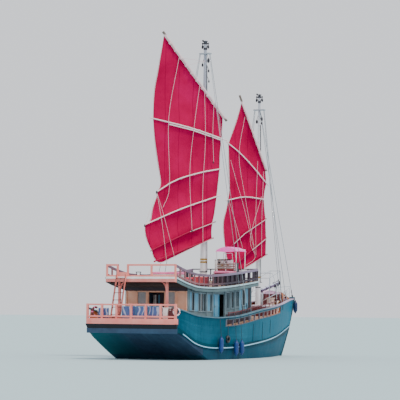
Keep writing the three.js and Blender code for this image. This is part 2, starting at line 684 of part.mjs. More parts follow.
function crosstrees(spec, half) {
  const radius = mastRadius(spec, spec.trees) + GAP;
  const body = block([spec.at - 150, spec.at + 150], [-half, half], [spec.trees - 35, spec.trees + 35]);
  return cut(body, rod([spec.at, 0, spec.trees - 100], [spec.at, 0, spec.trees + 100], radius + 1, { sides: 32 }));
}

// Feet of the shrouds at the cap rail, by their distance from the stern
function shrouds(spec, half, feet) {
  return feet.flatMap((a) =>
    [-1, 1].map((side) => {
      const y = side * (along(LINES, "capB", a) - 40);
      const head = [spec.at + (a - spec.at) * 0.12, side * (half - 30), spec.trees];
      return rod(head, [a, y, along(LINES, "capZ", a) - 20], SHROUD, { sides: 8 });
    }),
  );
}

const madeFast = (rigging) => seated(seated(rigging, hull), capRail);
add("main_rigging", madeFast(join(crosstrees(MAIN_MAST, 330), ...shrouds(MAIN_MAST, 330, [7900, 8650]))), STEEL);
const bowStays = [[20800, 3560], [19850, 3450]].map(([a, z]) =>
  rod([FORE_MAST.at + 120, 0, FORE_MAST.trees], [a, 0, z - 25], SHROUD, { sides: 8 }),
);
const foreRigging = join(crosstrees(FORE_MAST, 330), ...shrouds(FORE_MAST, 330, [15600, 16300]), ...bowStays);
add("fore_rigging", madeFast(foreRigging), STEEL);

// Sails. Their points are distance ahead of the mast along the sail, negative towards the leech, and height.

const MAIN_SAIL = {
  mast: MAIN_MAST,
  yard: [[-2960, 18450], [1190, 13560]],
  boom: [[-3380, 5430], [420, 6850]],
  battens: [
    [[-3720, 13540], [-1010, 13050], [1240, 12440]],
    [[-3290, 9330], [-2060, 10050], [-400, 10560], [850, 10800]],
    [[-4000, 7480], [-1750, 8420], [840, 9290]],
    [[-3620, 6020], [-1120, 7160], [560, 7780]],
  ],
  head: [[-2860, 18220], [960, 13620]],
  luff: [[1030, 12500], [790, 10760], [720, 9240], [480, 7740], [330, 6830]],
  foot: [[-3000, 5380]],
  leech: [[-3390, 5750], [-3560, 6050], [-3950, 7490], [-3230, 9350], [-3520, 13500], [-3440, 15200]],
};
const FORE_SAIL = {
  mast: FORE_MAST,
  yard: [[-1590, 15480], [290, 11040]],
  boom: [[-1700, 4920], [400, 6080]],
  battens: [
    [[-2470, 12700], [-1580, 12100], [-680, 11310], [450, 10160]],
    [[-2440, 9190], [-1190, 9450], [190, 9340]],
    [[-2480, 6120], [-1190, 7260], [330, 8210]],
    [[-2000, 5180], [-670, 6300], [350, 7060]],
  ],
  head: [[-1400, 15000], [230, 11120]],
  luff: [[340, 10270], [150, 9340], [280, 8170], [320, 7040], [310, 6030]],
  foot: [[-1400, 5090]],
  leech: [[-2000, 5250], [-2400, 6200], [-2560, 7900], [-2270, 9230], [-2230, 11200], [-2290, 12520]],
};

const outside = -(SAIL_OFFSET + CLOTH + GAP);

// A spar laid on the cloth, with the saddle that rides round the mast
function spar(sail, line, radius) {
  const [from, to] = line.map(([u, z]) => [u, outside - radius, z]);
  const share = -from[0] / (to[0] - from[0]);
  const z = from[2] + share * (to[2] - from[2]);
  const bearing = -(mastRadius(sail.mast, z - 60) + 0.6);
  const saddle = block([-45, 45], [outside - radius, bearing], [z - 45, z + 45]);
  return join(rod(from, to, radius, { sides: 16 }), saddle);
}

function batten(points, radius) {
  return bentRod(points.map(([u, z]) => [u, outside - radius, z]), radius);
}

function cloth({ head, luff, foot, leech }, saddles) {
  const outline = [...head, ...luff, ...foot, ...leech];
  const sheet = sidePlate(outline, [-SAIL_OFFSET - CLOTH, -SAIL_OFFSET]);
  return cut(sheet, ...saddles);
}

function saddleHole(line) {
  const share = -line[0][0] / (line[1][0] - line[0][0]);
  const z = line[0][1] + share * (line[1][1] - line[0][1]);
  return block([-50, 50], [-SAIL_OFFSET - 60, -SAIL_OFFSET + 60], [z - 50, z + 50]);
}

function rig(sail, name, { yardR, boomR, battenR }) {
  const group = hinged(sail.mast.at, 0, 0, -SAIL_SWING);
  add(`${name}_yard`, spar(sail, sail.yard, yardR), YARD_BROWN, group);
  add(`${name}_boom`, spar(sail, sail.boom, boomR), BATTEN_PINK, group);
  sail.battens.forEach((points, i) => add(`${name}_batten_${i + 1}`, batten(points, battenR), BATTEN_PINK, group));
  add(`${name}_sail`, cloth(sail, [saddleHole(sail.yard), saddleHole(sail.boom)]), CRIMSON, group);
}
rig(MAIN_SAIL, "main", { yardR: 72, boomR: 42, battenR: 38 });
rig(FORE_SAIL, "fore", { yardR: 62, boomR: 38, battenR: 34 });

// Foredeck

const onDeck = (piece) => seated(piece, hull);
const ROLL = { aft: 16230, front: 18700, aftZ: 3900, frontZ: 4400, radius: 130 };
const rollZ = (a) => ROLL.aftZ + ((a - ROLL.aft) / (ROLL.front - ROLL.aft)) * (ROLL.frontZ - ROLL.aftZ);
const roll = rod([ROLL.aft, 0, ROLL.aftZ], [ROLL.front, 0, ROLL.frontZ], ROLL.radius, { sides: 16 });
const CRUTCHES = [16500, 18450];
const standPosts = CRUTCHES.map((a) => block([a - 40, a + 40], [-40, 40], [2000, rollZ(a) - 60]));
const standRail = bar([CRUTCHES[0], 0, 3300], [CRUTCHES[1], 0, 3750], 50, 50);
add("awning_stand", seated(onDeck(join(...standPosts, standRail)), roll), STEEL);
add("awning_roll", roll, WHITE);
add(
  "windlass",
  onDeck(
    join(
      block([17350, 17850], [-560, -180], [2000, 3150]),
      rod([17600, -640, 3200], [17600, -120, 3200], 110, { sides: 16 }),
    ),
  ),
  CREAM,
);
const SUNBED = { aft: 14000, front: 16100, y0: -1180, y1: -430, top: 2930 };
add("sunbed", onDeck(block([SUNBED.aft, SUNBED.front], [SUNBED.y0, SUNBED.y1], [2000, SUNBED.top])), YARD_BROWN);
add(
  "sunbed_cushion",
  block([SUNBED.aft, SUNBED.front], [SUNBED.y0, SUNBED.y1], [SUNBED.top + GAP, SUNBED.top + 120]),
  LILAC,
);

// Rudder and propeller

const RUDDER = { at: TRUNK.at, aft: 3200, front: 4380, foot: -1440, top: -520, heel: -1500, stock: 45, half: 35 };
function rudder() {
  const blade = sidePlate(
    [
      [RUDDER.aft, RUDDER.foot + 180], [RUDDER.aft + 60, RUDDER.top], [RUDDER.front, RUDDER.top],
      [RUDDER.front, RUDDER.foot], [RUDDER.aft + 260, RUDDER.foot],
    ],
    [-RUDDER.half, RUDDER.half],
  );
  const ends = [RUDDER.heel + GAP, TRUNK.foot - GAP];
  const stock = rod([RUDDER.at, 0, ends[0]], [RUDDER.at, 0, ends[1]], RUDDER.stock, { sides: 24 });
  return join(blade, stock).translate(-RUDDER.at, 0, 0);
}
add("rudder", rudder(), TEAL_DARK, hinged(RUDDER.at, 0, 0, 0));

const PROPELLER = { at: 5000, z: -1010, radius: 400, blades: 4 };
function propeller() {
  const hub = rod([-90, 0, 0], [400 - GAP, 0, 0], 55, { tip: 45, sides: 16 });
  const blade = () => {
    const outline = [[30, -60], [150, -120], [300, -110], [395, 0], [300, 110], [150, 120], [30, 60]];
    const plate = floorPlate(outline, [-10, 10]).rotateX(THREE.MathUtils.degToRad(35));
    return plate.rotateZ(Math.PI / 2);
  };
  const blades = steps(0, PROPELLER.blades - 1, PROPELLER.blades - 1).map((i) =>
    blade().rotateX((i * 2 * Math.PI) / PROPELLER.blades),
  );
  return join(hub, ...blades);
}
add("propeller", propeller(), BRONZE, hinged(PROPELLER.at, 0, PROPELLER.z, 0));

// Fenders on lanyards from the cap rail

// Distance from the stern, height of the foot and length
const FENDERS = [
  [4750, 370, 920],
  [6600, 200, 880],
  [7350, 220, 860],
  [20450, 2560, 780],
];
const FENDER_R = 130;
// How far the side reaches out beside a fender, wale and all
function reach(a, top) {
  const waleTop = along(LINES, "waleZ", a) + WALE_HEIGHT;
  return Math.max(sideB(a, waleTop) + WALE_THICK, sideB(a, top));
}

FENDERS.forEach(([a, foot, length], i) => {
  const top = foot + length;
  const y = -(Math.max(...[a - FENDER_R, a, a + FENDER_R].map((at) => reach(at, top))) + FENDER_R + 2);
  const body = turnedBody(
    [[0, foot], [60, foot], [FENDER_R, foot + 110], [FENDER_R, top - 110], [45, top], [0, top]],
    16,
  ).translate(a, y, 0);
  const cap = along(LINES, "capB", a) + CAP_OVERHANG - 10;
  const lanyard = bar([a, y, top - 20], [a, -cap, along(LINES, "capZ", a) - 30], 16, 16);
  add(`fender_${i + 1}`, seated(join(body, lanyard), capRail), FENDER_BLUE);
});

SHIP.position.x = -MIDSHIPS;
const ship = new THREE.Group();
ship.add(SHIP);
export default ship;
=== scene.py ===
# %% [markdown]
# # A two-masted junk, dressed around its construction model
#
# The ship's solids come in already placed: hull, walls, masts and sails at their real size, in metres,
# with X to the bow, Y to port and Z up from the waterline. This notebook gives each of them the surface
# that the real one shows, and adds what is too fine for the construction model.

import json
import math

import bmesh
import bpy
from mathutils import Matrix, Vector


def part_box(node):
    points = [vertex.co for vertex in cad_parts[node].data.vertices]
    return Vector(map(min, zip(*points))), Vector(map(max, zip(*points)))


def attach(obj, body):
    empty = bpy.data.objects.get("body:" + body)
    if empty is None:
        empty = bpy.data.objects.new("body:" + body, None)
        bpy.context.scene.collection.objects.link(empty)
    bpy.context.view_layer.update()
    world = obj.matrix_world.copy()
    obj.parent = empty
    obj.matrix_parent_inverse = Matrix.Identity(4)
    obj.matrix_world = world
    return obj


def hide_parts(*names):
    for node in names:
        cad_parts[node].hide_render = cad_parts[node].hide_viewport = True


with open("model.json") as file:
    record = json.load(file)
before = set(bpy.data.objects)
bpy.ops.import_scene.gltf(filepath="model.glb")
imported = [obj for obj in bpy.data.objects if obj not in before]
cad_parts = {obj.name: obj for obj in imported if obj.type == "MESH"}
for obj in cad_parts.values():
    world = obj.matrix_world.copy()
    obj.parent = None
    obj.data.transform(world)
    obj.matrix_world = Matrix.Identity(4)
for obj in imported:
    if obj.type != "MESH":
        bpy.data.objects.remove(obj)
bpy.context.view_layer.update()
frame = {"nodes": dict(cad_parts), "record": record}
MIDSHIPS = 10.5  # the origin, from the aft face of the stern platform
FORWARD, PORT, UP = Vector((1, 0, 0)), Vector((0, 1, 0)), Vector((0, 0, 1))

# %% [markdown]
# ## Camera and light
#
# The ship was seen from a long way off, low over the water on its starboard quarter, through a long lens.
# A pinhole fitted to the stern, the masts and the stem puts the eye 144 m away and 2.85 m above the water,
# looking 2.5 degrees up, with a field of 9 degrees. The light is soft and high, from over the starboard
# quarter, so the counter under the stern is in shade while the sails glow.

# %% Camera
EYE = Vector((-129.1, -64.6, 2.85))
HEADING = math.radians(27)  # between the ship's length and the line of sight
PITCH_UP = math.radians(2.47)
ROLL = math.radians(0.5)
LENS_MM = 225
SENSOR_MM = 36

camera = bpy.data.objects.new("camera", bpy.data.cameras.new("camera"))
bpy.context.scene.collection.objects.link(camera)
camera.data.lens = LENS_MM
camera.data.sensor_width = SENSOR_MM
camera.data.clip_start = 1
camera.data.clip_end = 2000
ahead = Vector((math.cos(HEADING), math.sin(HEADING), math.tan(PITCH_UP))).normalized()
turn = ahead.to_track_quat("-Z", "Y").to_matrix().to_4x4() @ Matrix.Rotation(ROLL, 4, "Z")
camera.matrix_world = Matrix.Translation(EYE) @ turn
bpy.context.scene.camera = camera
print("camera", round(EYE.length), "m from the ship, lens", LENS_MM, "mm")

# %% [markdown]
# ## Tools for finishes
#
# A finish is a Principled shader with a few nodes in front of it. Patterns read Object coordinates in
# metres, so what repeats every 140 mm on the ship repeats every 0.14 here. Where a pattern has to follow a
# curved surface, as planks follow the sheer, it reads a UV map that is laid out in metres too.


# %% Colours and nodes
def linear(code):
    """An sRGB hex colour as linear RGBA."""
    values = [int(code[i : i + 2], 16) / 255 for i in (1, 3, 5)]
    return [v / 12.92 if v <= 0.04045 else ((v + 0.055) / 1.055) ** 2.4 for v in values] + [1]


def add_node(material, kind, inputs=None, stops=None, **settings):
    """Adds a node. An input, by name or number, is a value or another node's socket to link from."""
    made = material.node_tree.nodes.new(kind)
    for name, value in settings.items():
        setattr(made, name, value)
    for name, value in (inputs or {}).items():
        if isinstance(value, bpy.types.NodeSocket):
            material.node_tree.links.new(value, made.inputs[name])
        else:
            made.inputs[name].default_value = value
    if stops:
        while len(made.color_ramp.elements) < len(stops):
            made.color_ramp.elements.new(0.5)
        for element, (place, code) in zip(made.color_ramp.elements, stops):
            element.position = place
            element.color = linear(code)
    return made


def start_material(name, rough, metallic=0.0):
    """A material with its shader and its Texture Coordinate node."""
    material = bpy.data.materials.new(name)
    material.use_nodes = True
    print("finish", name)
    shader = material.node_tree.nodes["Principled BSDF"]
    shader.inputs["Roughness"].default_value = rough
    shader.inputs["Metallic"].default_value = metallic
    return material, shader, add_node(material, "ShaderNodeTexCoord")


def wire(material, source, shader, name):
    material.node_tree.links.new(source, shader.inputs[name])


# %% Floor, world and sun
FLOOR_RADIUS = 700
floor_mesh = bmesh.new()
bmesh.ops.create_circle(floor_mesh, cap_ends=True, segments=96, radius=FLOOR_RADIUS)
floor = bpy.data.objects.new("floor", bpy.data.meshes.new("floor"))
floor_mesh.to_mesh(floor.data)
floor_mesh.free()
bpy.context.scene.collection.objects.link(floor)
floor_paint, floor_shader, _ = start_material("studio_floor_matt_paint", 0.85)
floor_shader.inputs["Base Color"].default_value = linear("#b4cfd6")
floor.data.materials.append(floor_paint)

world = bpy.data.worlds.new("studio")
bpy.context.scene.world = world
world.use_nodes = True
world.node_tree.nodes["Background"].inputs["Color"].default_value = linear("#f2f5fb")
world.node_tree.nodes["Background"].inputs["Strength"].default_value = 1.15

SUN_FROM = Vector((-0.25, -0.75, 1.5))  # high, over the starboard quarter
sun = bpy.data.objects.new("sun", bpy.data.lights.new("sun", "SUN"))
sun.data.energy = 2.3
sun.data.angle = math.radians(10)
sun.data.color = linear("#fff3e4")[:3]
sun.rotation_mode = "QUATERNION"
sun.rotation_quaternion = (-SUN_FROM).to_track_quat("-Z", "Y")
bpy.context.scene.collection.objects.link(sun)
print("floor", FLOOR_RADIUS, "m, sun", round(sun.data.energy, 2))

# %% [markdown]
# ## Paint
#
# Nearly all of the ship is painted timber. Marine enamel on the hull is fairly glossy, chalks in patches and
# runs with fine streaks below every fitting, and its planks show as faint lines that follow the sheer. Deck
# houses and rails have a flatter paint that wears through to the wood on edges. One function makes the
# house paints from a coat, a faded coat and what shows where it has worn; the hull has its own.


# %% Hull enamel
PLANK = 0.17  # width of a hull plank


def hull_enamel(name, coats, streak, rough):
    """Glossy enamel on planks that follow the UV map: patchy chalking and streaks that run down."""
    material, shader, coords = start_material(name, rough)
    patches = add_node(
        material, "ShaderNodeTexNoise",
        {"Vector": coords.outputs["Object"], "Scale": 0.55, "Detail": 7, "Roughness": 0.62},
    )
    coat = add_node(
        material, "ShaderNodeValToRGB", {"Fac": patches.outputs["Fac"]},
        stops=[(0.34, coats[0]), (0.5, coats[1]), (0.66, coats[2])],
    )
    planks = add_node(
        material, "ShaderNodeTexBrick",
        {
            "Vector": coords.outputs["UV"], "Scale": 1, "Brick Width": 5.4, "Row Height": PLANK,
            "Mortar Size": 0.005, "Mortar Smooth": 0.6, "Bias": 0.0,
            "Color1": linear("#ffffff"), "Color2": linear("#d9d9d9"), "Mortar": linear("#7c7c7c"),
        },
    )
    planked = add_node(
        material, "ShaderNodeMix",
        {0: 0.55, 6: coat.outputs["Color"], 7: planks.outputs["Color"]},
        data_type="RGBA", blend_type="MULTIPLY",
    )
    run_down = add_node(
        material, "ShaderNodeMapping", {"Vector": coords.outputs["Object"], "Scale": (4.5, 4.5, 0.32)}
    )
    streaks = add_node(
        material, "ShaderNodeTexNoise",
        {"Vector": run_down.outputs["Vector"], "Scale": 1.3, "Detail": 9, "Roughness": 0.7},
    )
    share = add_node(
        material, "ShaderNodeMapRange",
        {"Value": streaks.outputs["Fac"], "From Min": 0.5, "From Max": 0.78, "To Max": 0.5},
    )
    streaked = add_node(
        material, "ShaderNodeMix",
        {0: share.outputs["Result"], 6: planked.outputs[2], 7: linear(streak)}, data_type="RGBA",
    )
    wire(material, streaked.outputs[2], shader, "Base Color")
    gloss = add_node(
        material, "ShaderNodeMapRange",
        {"Value": streaks.outputs["Fac"], "To Min": rough - 0.08, "To Max": rough + 0.16},
    )
    wire(material, gloss.outputs["Result"], shader, "Roughness")
    seams = add_node(
        material, "ShaderNodeBump",
        {"Height": planks.outputs["Fac"], "Strength": 0.3, "Distance": 0.004}, invert=True,
    )
    wire(material, seams.outputs["Normal"], shader, "Normal")
    shader.inputs["Specular IOR Level"].default_value = 0.05
    return material


# Duller, darker teal below the wale: painted shade on the side where it turns under.
LOW_SHADE_ENAMEL = hull_enamel(
    "teal_enamel_with_painted_shade_below_wale", ["#1a4056", "#204c62", "#26566c"], "#0e3042", 0.5
)
TEAL_ENAMEL = hull_enamel(
    "teal_marine_enamel_on_planks", ["#124e64", "#185e76", "#1e6a82"], "#0a3e52", 0.45
)
# Near-black enamel on the counter, the transom and the rudder: painted shade under the overhanging stern.
COUNTER_SHADE_ENAMEL = hull_enamel(
    "dark_enamel_with_painted_shade_under_stern", ["#2a3c52", "#30465e", "#3a526a"], "#1c2a3c", 0.55
)
WALE_ENAMEL = hull_enamel(
    "wale_marine_enamel_on_planks", ["#00465a", "#005468", "#006074"], "#003246", 0.48
)


# %% Colour that changes along the ship
def tint_along(material, axis, tint, start, end, most=1.0):
    """Blends in another colour, more and more from start to end along an axis of the ship."""
    shader = material.node_tree.nodes["Principled BSDF"]
    coat = shader.inputs["Base Color"].links[0].from_socket
    coords = add_node(material, "ShaderNodeTexCoord")
    place = add_node(material, "ShaderNodeSeparateXYZ", {"Vector": coords.outputs["Object"]})
    share = add_node(
        material, "ShaderNodeMapRange",
        {"Value": place.outputs[axis], "From Min": start, "From Max": end, "To Max": most},
    )
    mixed = add_node(
        material, "ShaderNodeMix", {0: share.outputs["Result"], 6: coat, 7: linear(tint)}, data_type="RGBA"
    )
    wire(material, mixed.outputs[2], shader, "Base Color")


# Teal towards the port side of the counter and transom: painted reflected light.
tint_along(COUNTER_SHADE_ENAMEL, "Y", "#0c6068", 0.4, 2.9)
# Brighter, more saturated teal towards the bow, on the side and below the wale: painted light.
tint_along(TEAL_ENAMEL, "X", "#0c728e", -3.5, 10.0)
tint_along(LOW_SHADE_ENAMEL, "X", "#085c74", -4.0, 9.0)


# %% House paint
def house_paint(name, coats, worn, rough, wear=0.3, grain=(1, 12, 12), boards=None):
    """Brushed paint on timber: a coat that fades in patches, wood where it has worn, and brush marks along
    the grain. boards is the direction and width of matched boards under the paint."""
    material, shader, coords = start_material(name, rough)
    patches = add_node(
        material, "ShaderNodeTexNoise",
        {"Vector": coords.outputs["Object"], "Scale": 1.7, "Detail": 6, "Roughness": 0.6},
    )
    coat = add_node(
        material, "ShaderNodeValToRGB", {"Fac": patches.outputs["Fac"]},
        stops=[(0.35, coats[0]), (0.65, coats[1])],
    )
    along_grain = add_node(
        material, "ShaderNodeMapping", {"Vector": coords.outputs["Object"], "Scale": grain}
    )
    brush = add_node(
        material, "ShaderNodeTexNoise",
        {"Vector": along_grain.outputs["Vector"], "Scale": 2.2, "Detail": 8, "Roughness": 0.75},
    )
    bare = add_node(
        material, "ShaderNodeMapRange",
        {"Value": brush.outputs["Fac"], "From Min": 0.62 - 0.12 * wear, "From Max": 0.74, "To Max": wear},
    )
    painted = add_node(
        material, "ShaderNodeMix",
        {0: bare.outputs["Result"], 6: coat.outputs["Color"], 7: linear(worn)}, data_type="RGBA",
    )
    colour, height = painted.outputs[2], brush.outputs["Fac"]
    if boards:
        direction, width = boards
        joints = add_node(
            material, "ShaderNodeTexWave",
            {"Vector": coords.outputs["Object"], "Scale": math.pi / 10 / width},
            bands_direction=direction, wave_profile="SAW",
        )
        groove = add_node(
            material, "ShaderNodeMapRange", {"Value": joints.outputs["Fac"], "From Min": 0.9, "To Max": 0.6}
        )
        lined = add_node(
            material, "ShaderNodeMix",
            {0: groove.outputs["Result"], 6: colour, 7: linear("#2c2624")}, data_type="RGBA",
        )
        colour = lined.outputs[2]
    wire(material, colour, shader, "Base Color")
    marks = add_node(
        material, "ShaderNodeBump", {"Height": height, "Strength": 0.25, "Distance": 0.003}
    )
    wire(material, marks.outputs["Normal"], shader, "Normal")
    return material


# %% Paints of the deck house, the rails and the spars
SALMON = house_paint("salmon_oil_paint_on_timber", ["#f6867c", "#ff9c90"], "#c47464", 0.55)
CAP_PAINT = house_paint("grey_oil_paint_on_cap", ["#466878", "#5e8090"], "#54606a", 0.6, 0.4)
CABIN_PAINT = house_paint(
    "grey_green_oil_paint_on_boards", ["#566c76", "#6a828a"], "#4c5858", 0.6, 0.35,
    (12, 12, 1), ("X", 0.145),
)
BLUE_PAINT = house_paint(
    "light_blue_oil_paint_on_timber", ["#4486a6", "#5c9cba"], "#345c70", 0.5, 0.25, (12, 12, 1)
)
CREAM_PAINT = house_paint("cream_oil_paint_on_timber", ["#f2ece6", "#ffffff"], "#c9b8a8", 0.5)
PALE_PAINT = house_paint("pale_blue_stripe_paint", ["#a4ccdc", "#c4e0ea"], "#7c9cac", 0.45)
TAN_PANEL = house_paint(
    "faded_varnish_on_panels", ["#f0ac8c", "#ffc4a4"], "#a8704c", 0.5, 0.4, (12, 12, 1)
)
WEATHERED = house_paint(
    "bare_weathered_hardwood", ["#5d4a4c", "#7d686c"], "#9a8a86", 0.75, 0.6
)
MAROON = house_paint("maroon_oil_paint_on_timber", ["#5a2228", "#742c32"], "#3c1a1c", 0.55)
ORANGE_PLANK = house_paint(
    "varnished_orange_planks", ["#a85a38", "#c87848"], "#6c3424", 0.5, 0.4, (1, 12, 12)
)
# Dark varnish on the deckhead and its beams, darkened further as painted shade under the roof.
DECKHEAD_VARNISH_AND_SHADE = house_paint(
    "dark_varnish_and_painted_shade_on_deckhead", ["#3a2420", "#4c302a"], "#241614", 0.5, 0.3,
    (1, 12, 12), ("Y", 0.13),
)
# Dark boards; at the waterways, the cabin's skirting, the aft header and the saloon screen the dark is
# painted shade.
DARK_STAIN_AND_SHADE = house_paint("dark_stain_and_painted_shade_on_boards", ["#281c28", "#382a38"], "#1a121a", 0.55)
# Blue darkened by painted shade, for the aft doors in the shaded doorway.
AFT_DOOR_SHADE_BLUE = house_paint("dark_blue_oil_paint_on_doors", ["#182838", "#24384a"], "#101a24", 0.5)
# Red-brown for the ladder's treads and aft faces: painted shade.
LADDER_SHADE_PAINT = house_paint("red_brown_painted_shade_on_ladder", ["#7c3c38", "#965048"], "#5a2a28", 0.55)
YARD_WOOD = house_paint("oiled_fir_yard", ["#7a6a60", "#94847a"], "#564a44", 0.6, 0.5)
BATTEN_PAINT = house_paint("pale_painted_bamboo", ["#f6d4da", "#fff0f2"], "#d8a0aa", 0.55)
MAST_PAINT = house_paint(
    "white_enamel_on_mast", ["#f0f1f6", "#ffffff"], "#c8ccd8", 0.4, 0.2, (10, 10, 0.6)
)
tint_along(MAST_PAINT, "Z", "#8890a4", 12.5, 15.5, 0.8)
WHITE_PAINT = house_paint("white_gloss_enamel", ["#ece9e6", "#ffffff"], "#c8c2ba", 0.35, 0.15)

# %% [markdown]
# ## Decks, cloth and metal
#
# Deck planks are narrow, run fore and aft and have black caulking between them, which a Brick texture
# draws. Cloth gets its weave as bump at the pitch of its threads, coarsened until it shows at this size,
# and a little sheen. Metals take their look from roughness and the light.


# %% Decks
def deck_planks(name, boards, caulk, width):
    """Laid planks with caulked seams, running along X."""
    material, shader, coords = start_material(name, 0.7)
    laid = add_node(
        material, "ShaderNodeTexBrick",
        {
            "Vector": coords.outputs["Object"], "Scale": 1, "Brick Width": 3.4, "Row Height": width,
            "Mortar Size": 0.006, "Mortar Smooth": 0.2, "Bias": 0.0,
            "Color1": linear(boards[0]), "Color2": linear(boards[1]), "Mortar": linear(caulk),
        },
    )
    along_grain = add_node(
        material, "ShaderNodeMapping", {"Vector": coords.outputs["Object"], "Scale": (1.5, 22, 22)}
    )
    grain = add_node(
        material, "ShaderNodeTexNoise",
        {"Vector": along_grain.outputs["Vector"], "Scale": 2, "Detail": 9, "Roughness": 0.7},
    )
    toned = add_node(
        material, "ShaderNodeMix",
        {0: 0.45, 6: laid.outputs["Color"], 7: grain.outputs["Color"]},
        data_type="RGBA", blend_type="SOFT_LIGHT",
    )
    wire(material, toned.outputs[2], shader, "Base Color")
    seams = add_node(
        material, "ShaderNodeBump",
        {"Height": laid.outputs["Fac"], "Strength": 0.5, "Distance": 0.005}, invert=True,
    )
    wire(material, seams.outputs["Normal"], shader, "Normal")
    return material


DECK = deck_planks("laid_deck_grey_teak", ["#9a7c68", "#a98c78"], "#2a2220", 0.11)


# %% Woven cloth
def woven(name, coats, thread, rough=0.85, sheen=0.25):
    """Plain weave: crossed waves at the pitch of the threads, with patchy fading. The real threads are
    about 2 mm, drawn up to ten times coarser."""
    material, shader, coords = start_material(name, rough)
    fading = add_node(
        material, "ShaderNodeTexNoise",
        {"Vector": coords.outputs["Object"], "Scale": 0.8, "Detail": 5, "Roughness": 0.55},
    )
    dye = add_node(
        material, "ShaderNodeValToRGB", {"Fac": fading.outputs["Fac"]},
        stops=[(0.34, coats[0]), (0.5, coats[1]), (0.68, coats[2])],
    )
    warp = add_node(
        material, "ShaderNodeTexWave",
        {"Vector": coords.outputs["Object"], "Scale": math.pi / 10 / thread, "Distortion": 0.3},
        bands_direction="X",
    )
    weft = add_node(
        material, "ShaderNodeTexWave",
        {"Vector": coords.outputs["Object"], "Scale": math.pi / 10 / thread, "Distortion": 0.3},
        bands_direction="Z",
    )
    crossed = add_node(
        material, "ShaderNodeMath", {0: warp.outputs["Fac"], 1: weft.outputs["Fac"]}, operation="MULTIPLY"
    )
    threads = add_node(
        material, "ShaderNodeMix",
        {0: crossed.outputs["Value"], 6: dye.outputs["Color"], 7: linear(coats[2])}, data_type="RGBA",
    )
    wire(material, threads.outputs[2], shader, "Base Color")
    weave = add_node(
        material, "ShaderNodeBump",
        {"Height": crossed.outputs["Value"], "Strength": 0.35, "Distance": thread * 0.25},
    )
    wire(material, weave.outputs["Normal"], shader, "Normal")
    shader.inputs["Sheen Weight"].default_value = sheen
    return material


PINK_COVER = woven("pink_woven_cotton_cover", ["#e8509a", "#f278b2", "#f79cc6"], 0.012)
CORAL_COVER = woven("coral_woven_cotton_cover", ["#c8202c", "#e03440", "#ee5a5c"], 0.012)
LILAC_COVER = woven("lilac_woven_cotton_cover", ["#dccfe6", "#ece2f2", "#faf4fc"], 0.012)
PINK_CANVAS = woven("pink_awning_canvas", ["#ff50b4", "#ff68c0", "#ff88d0"], 0.01, 0.8, 0.1)
thin_canvas = PINK_CANVAS.node_tree.nodes["Principled BSDF"].inputs
thin_canvas["Subsurface Weight"].default_value = 0.6
thin_canvas["Subsurface Radius"].default_value = (0.06, 0.03, 0.05)
thin_canvas["Subsurface Scale"].default_value = 1.0
# The emission is a painted glow that stands in for daylight through the thin canvas.
thin_canvas["Emission Color"].default_value = linear("#ff64c4")
thin_canvas["Emission Strength"].default_value = 0.34  # daylight that comes through the thin canvas
WHITE_CANVAS = woven("white_awning_canvas", ["#c4c8e4", "#d8dbf2", "#e8eafa"], 0.012, 0.8)
# Violet for the lower side of the furled roll: painted shade.
ROLL_SHADE_CANVAS = woven("violet_painted_shade_on_roll", ["#442c54", "#523864", "#664a7a"], 0.012, 0.8)


# %% Sailcloth
CLOTH_PANEL = 0.9  # width of the cloths that the sail is sewn from


def sailcloth():
    """Dyed cotton duck sewn from upright cloths, read from a UV map in metres: each seam is two layers
    with a line of stitches, and the dye fades in soft patches."""
    material, shader, coords = start_material("dyed_cotton_sailcloth", 0.8)
    fading = add_node(
        material, "ShaderNodeTexNoise",
        {"Vector": coords.outputs["UV"], "Scale": 0.45, "Detail": 6, "Roughness": 0.6},
    )
    dye = add_node(
        material, "ShaderNodeValToRGB", {"Fac": fading.outputs["Fac"]},
        stops=[(0.32, "#a80040"), (0.5, "#ba004a"), (0.7, "#c80458")],
    )
    seams = add_node(
        material, "ShaderNodeTexBrick",
        {
            "Vector": coords.outputs["UV"], "Scale": 1, "Brick Width": CLOTH_PANEL, "Row Height": 40,
            "Mortar Size": 0.012, "Mortar Smooth": 0.4, "Bias": 0.0,
        },
        offset=0.0,
    )
    sewn = add_node(
        material, "ShaderNodeMix",
        {0: seams.outputs["Fac"], 6: dye.outputs["Color"], 7: linear("#880030")}, data_type="RGBA",
    )
    wire(material, sewn.outputs[2], shader, "Base Color")
    creases = add_node(
        material, "ShaderNodeTexNoise",
        {"Vector": coords.outputs["UV"], "Scale": 1.6, "Detail": 4, "Distortion": 0.8},
    )
    folds = add_node(
        material, "ShaderNodeBump", {"Height": creases.outputs["Fac"], "Strength": 0.35, "Distance": 0.05}
    )
    stitched = add_node(
        material, "ShaderNodeBump",
        {
            "Height": seams.outputs["Fac"], "Normal": folds.outputs["Normal"],
            "Strength": 0.5, "Distance": 0.006,
        },
    )
    wire(material, stitched.outputs["Normal"], shader, "Normal")
    shader.inputs["Specular IOR Level"].default_value = 0.05
    return material


SAILCLOTH = sailcloth()


# %% Rope, vinyl, glass and metal
def plain_finish(name, coats, rough, metallic=0.0, scale=6.0, coat=0.0):
    """A finish whose colour and gloss vary a little in fine patches."""
    material, shader, coords = start_material(name, rough, metallic)
    patches = add_node(
        material, "ShaderNodeTexNoise",
        {"Vector": coords.outputs["Object"], "Scale": scale, "Detail": 6, "Roughness": 0.65},
    )
    tone = add_node(
        material, "ShaderNodeValToRGB", {"Fac": patches.outputs["Fac"]},
        stops=[(0.35, coats[0]), (0.65, coats[1])],
    )
    wire(material, tone.outputs["Color"], shader, "Base Color")
    gloss = add_node(
        material, "ShaderNodeMapRange",
        {"Value": patches.outputs["Fac"], "To Min": max(rough - 0.1, 0.04), "To Max": rough + 0.12},
    )
    wire(material, gloss.outputs["Result"], shader, "Roughness")
    relief = add_node(
        material, "ShaderNodeBump", {"Height": patches.outputs["Fac"], "Strength": 0.4, "Distance": 0.001}
    )
    wire(material, relief.outputs["Normal"], shader, "Normal")
    shader.inputs["Coat Weight"].default_value = coat
    return material


